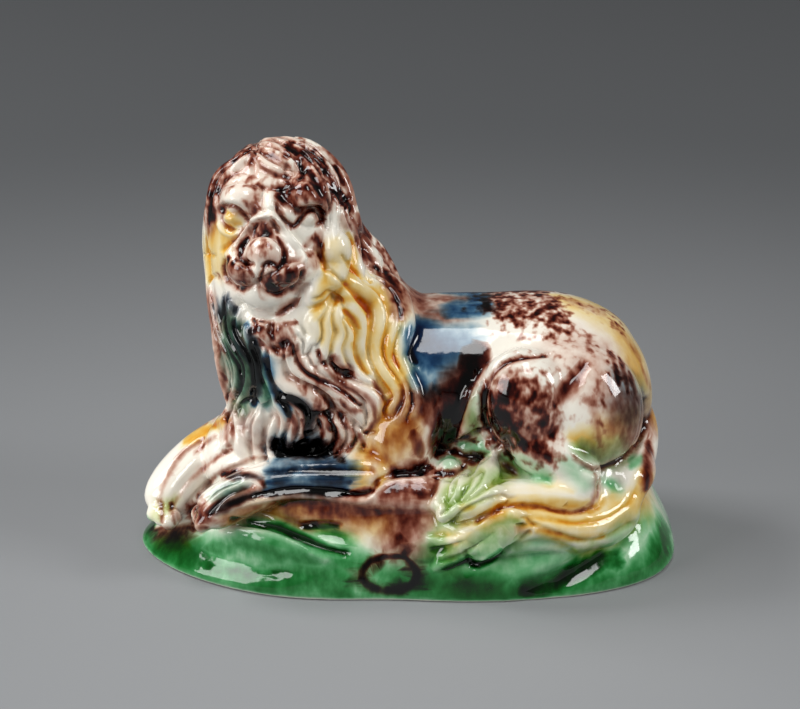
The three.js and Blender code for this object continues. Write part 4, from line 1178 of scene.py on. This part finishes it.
def glazed_earthenware():
    """Lead-glazed white earthenware, dipped and fired glossy: thin colour lets the cream body through, deep
    colour goes nearly black. Each colour dims what lies below it by the power of its depth, as a stained
    glass does."""
    # Glassy and a little rippled, so that the soft lights show as sharp, gently broken windows
    material, tree, shader = begun("coloured_lead_glaze", 0.07)
    shader["IOR"].default_value = 1.52
    node = partial(add_node, tree)
    where = node("TexCoord", out="Object")
    ripple = node("TexNoise", {"Vector": where, "Scale": 260.0, "Detail": 2.0})
    bump = node("Bump", {"Height": ripple, "Strength": 0.12, "Distance": 0.0006})
    tree.links.new(bump, shader["Normal"])

    # Colour ran a little downwards, in patches and finer mottle
    running = node("VectorMath", {0: where, 1: (1.0, 1.0, 0.62)}, operation="MULTIPLY")
    mottle = node("TexNoise", {"Vector": running, "Scale": 620.0, "Detail": 2.2, "Roughness": 0.5})
    blotches = node("TexNoise", {"Vector": running, "Scale": 640.0, "Detail": 1.7, "Roughness": 0.45})
    drift = node("TexNoise", {"Vector": where, "Scale": 90.0, "Detail": 2.0})
    mixed = node("Math", {0: mottle, 1: 0.35, 2: drift}, operation="MULTIPLY_ADD")
    uneven = node(
        "MapRange", {"Value": mixed, "From Min": 0.4, "From Max": 0.95, "To Min": 0.3, "To Max": 1.7}
    )
    patchy = node(
        "MapRange", {"Value": blotches, "From Min": 0.32, "From Max": 0.68, "To Min": 0.65, "To Max": 1.35}
    )

    # Specks of sponged manganese: where the sponge's depth lifts the blotches over a level
    sponge = node("Attribute", out="Fac", attribute_name="sponged")
    level = node("Math", {0: sponge, 1: 0.5, 2: blotches}, operation="MULTIPLY_ADD")
    speck = node("MapRange", {"Value": level, "From Min": 0.58, "From Max": 1.08})
    speck = node("Math", {0: speck, 1: 2.0}, operation="POWER")
    reached = node("Math", {0: sponge, 1: 8.0}, operation="MULTIPLY", use_clamp=True)
    speck = node("Math", {0: speck, 1: reached}, operation="MULTIPLY")

    absorbed = (0.0, 0.0, 0.0)
    for name, colour in FULL_DEPTH.items():
        depth = node("Attribute", out="Fac", attribute_name=name)
        depth = node("Math", {0: depth, 1: uneven}, operation="MULTIPLY")
        if name == "manganese_and_painted_shade":
            depth = node("Math", {0: depth, 1: patchy}, operation="MULTIPLY")
            depth = node("Math", {0: speck, 1: 3.0, 2: depth}, operation="MULTIPLY_ADD")
        strength = tuple(np.log(linear(CREAM) / linear(colour)))
        taken = node("VectorMath", {0: strength, "Scale": depth}, operation="SCALE")
        absorbed = node("VectorMath", {0: absorbed, 1: taken}, operation="ADD")
    part = node("SeparateXYZ", {"Vector": absorbed}).node.outputs
    once = float(np.exp(-1))
    let_through = {axis: node("Math", {0: once, 1: part[axis]}, operation="POWER") for axis in "XYZ"}
    seen = node("CombineXYZ", let_through)
    colour = node("VectorMath", {0: seen, 1: tuple(linear(CREAM))}, operation="MULTIPLY")
    tree.links.new(colour, shader["Base Color"])
    return material


def grey_paper():
    """Backdrop paper, pale about the lion and painted darker by some way off, as painted shade where the
    light doesn't reach.
    """
    # Matt, so that the floor shows the figure's soft shadow and no reflection of it
    material, tree, shader = begun("pale_grey_paper", 0.9)
    node = partial(add_node, tree)
    where = node("TexCoord", out="Object")
    far = node("VectorMath", {0: where, 1: (0.0, -0.06, 0.0)}, out="Value", operation="DISTANCE")
    fading = {"Value": far, "From Min": 0.0, "From Max": 0.38, "To Min": 1.0, "To Max": 0.0}
    near = node("MapRange", fading, interpolation_type="SMOOTHSTEP")
    tones = {"A": (*linear(PAPER_IN_PAINTED_SHADE), 1), "B": (*linear(PAPER_NEAR), 1)}
    tone = node("Mix", {"Factor": near, **tones}, out="Result", data_type="RGBA")
    tree.links.new(tone, shader["Base Color"])
    return material


lion = placed("glazed_lion", moulding())
lion.data.polygons.foreach_set("use_smooth", np.ones(len(lion.data.polygons), bool))
glaze(lion.data)
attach(lion, "root")
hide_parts("lion_on_rocky_ground")
lion.data.materials.append(glazed_earthenware())

# How far the floor runs from the lion, in millimetres, so that its edge stays out of a low view
FLOOR_REACH = 9000
floor_corners = FLOOR_REACH * np.array([[-1, -1, 0], [1, -1, 0], [1, 1, 0], [-1, 1, 0]])
floor = placed("floor", as_mesh("floor", floor_corners, np.array([[0, 1, 2, 3]])))
floor.data.materials.append(grey_paper())


def aimed(way):
    """The turn that points a camera's or a light's own -Z along a way, upright."""
    return Vector(way).to_track_quat("-Z", "Y").to_euler()


# Width of the camera's sensor, in millimetres
SENSOR = 36
camera = placed("picture_camera", bpy.data.cameras.new("picture_camera"))
camera.location = Vector(viewer() * MM)
camera.rotation_euler = aimed(-view_axes()[2])
camera.data.sensor_width = SENSOR
camera.data.lens = FOCAL / PICTURE[0] * SENSOR
camera.data.clip_end = 20
bpy.context.scene.camera = camera

# What the lights are aimed at, in metres
LIT_PLACE = Vector((0, 0, 0.04))


def softbox(name, place, size, power):
    """A rectangular light at a place, aimed at the lion."""
    light = placed(name, bpy.data.lights.new(name, "AREA"))
    light.data.shape = "RECTANGLE"
    light.data.size, light.data.size_y = size
    light.data.energy = power
    light.location = place
    light.rotation_euler = aimed(LIT_PLACE - Vector(place))


# Places and sizes in metres, powers in watts
softbox("overhead_softbox", (0.06, -0.4, 0.9), (0.22, 0.62), 3.4)
softbox("left_softbox", (-0.85, -0.5, 0.34), (0.55, 0.55), 6.5)
softbox("side_softbox", (-0.75, 0.15, 0.75), (0.4, 0.5), 6)
softbox("right_softbox", (0.9, -0.3, 0.5), (0.25, 0.5), 5.2)

world = bpy.data.worlds.new("studio")
world.use_nodes = True
dome = world.node_tree.nodes["Background"].inputs
dome["Color"].default_value = (0.52, 0.52, 0.53, 1)
dome["Strength"].default_value = 0.2
bpy.context.scene.world = world
bpy.context.scene.view_settings.view_transform = "Standard"

bpy.context.view_layer.update()
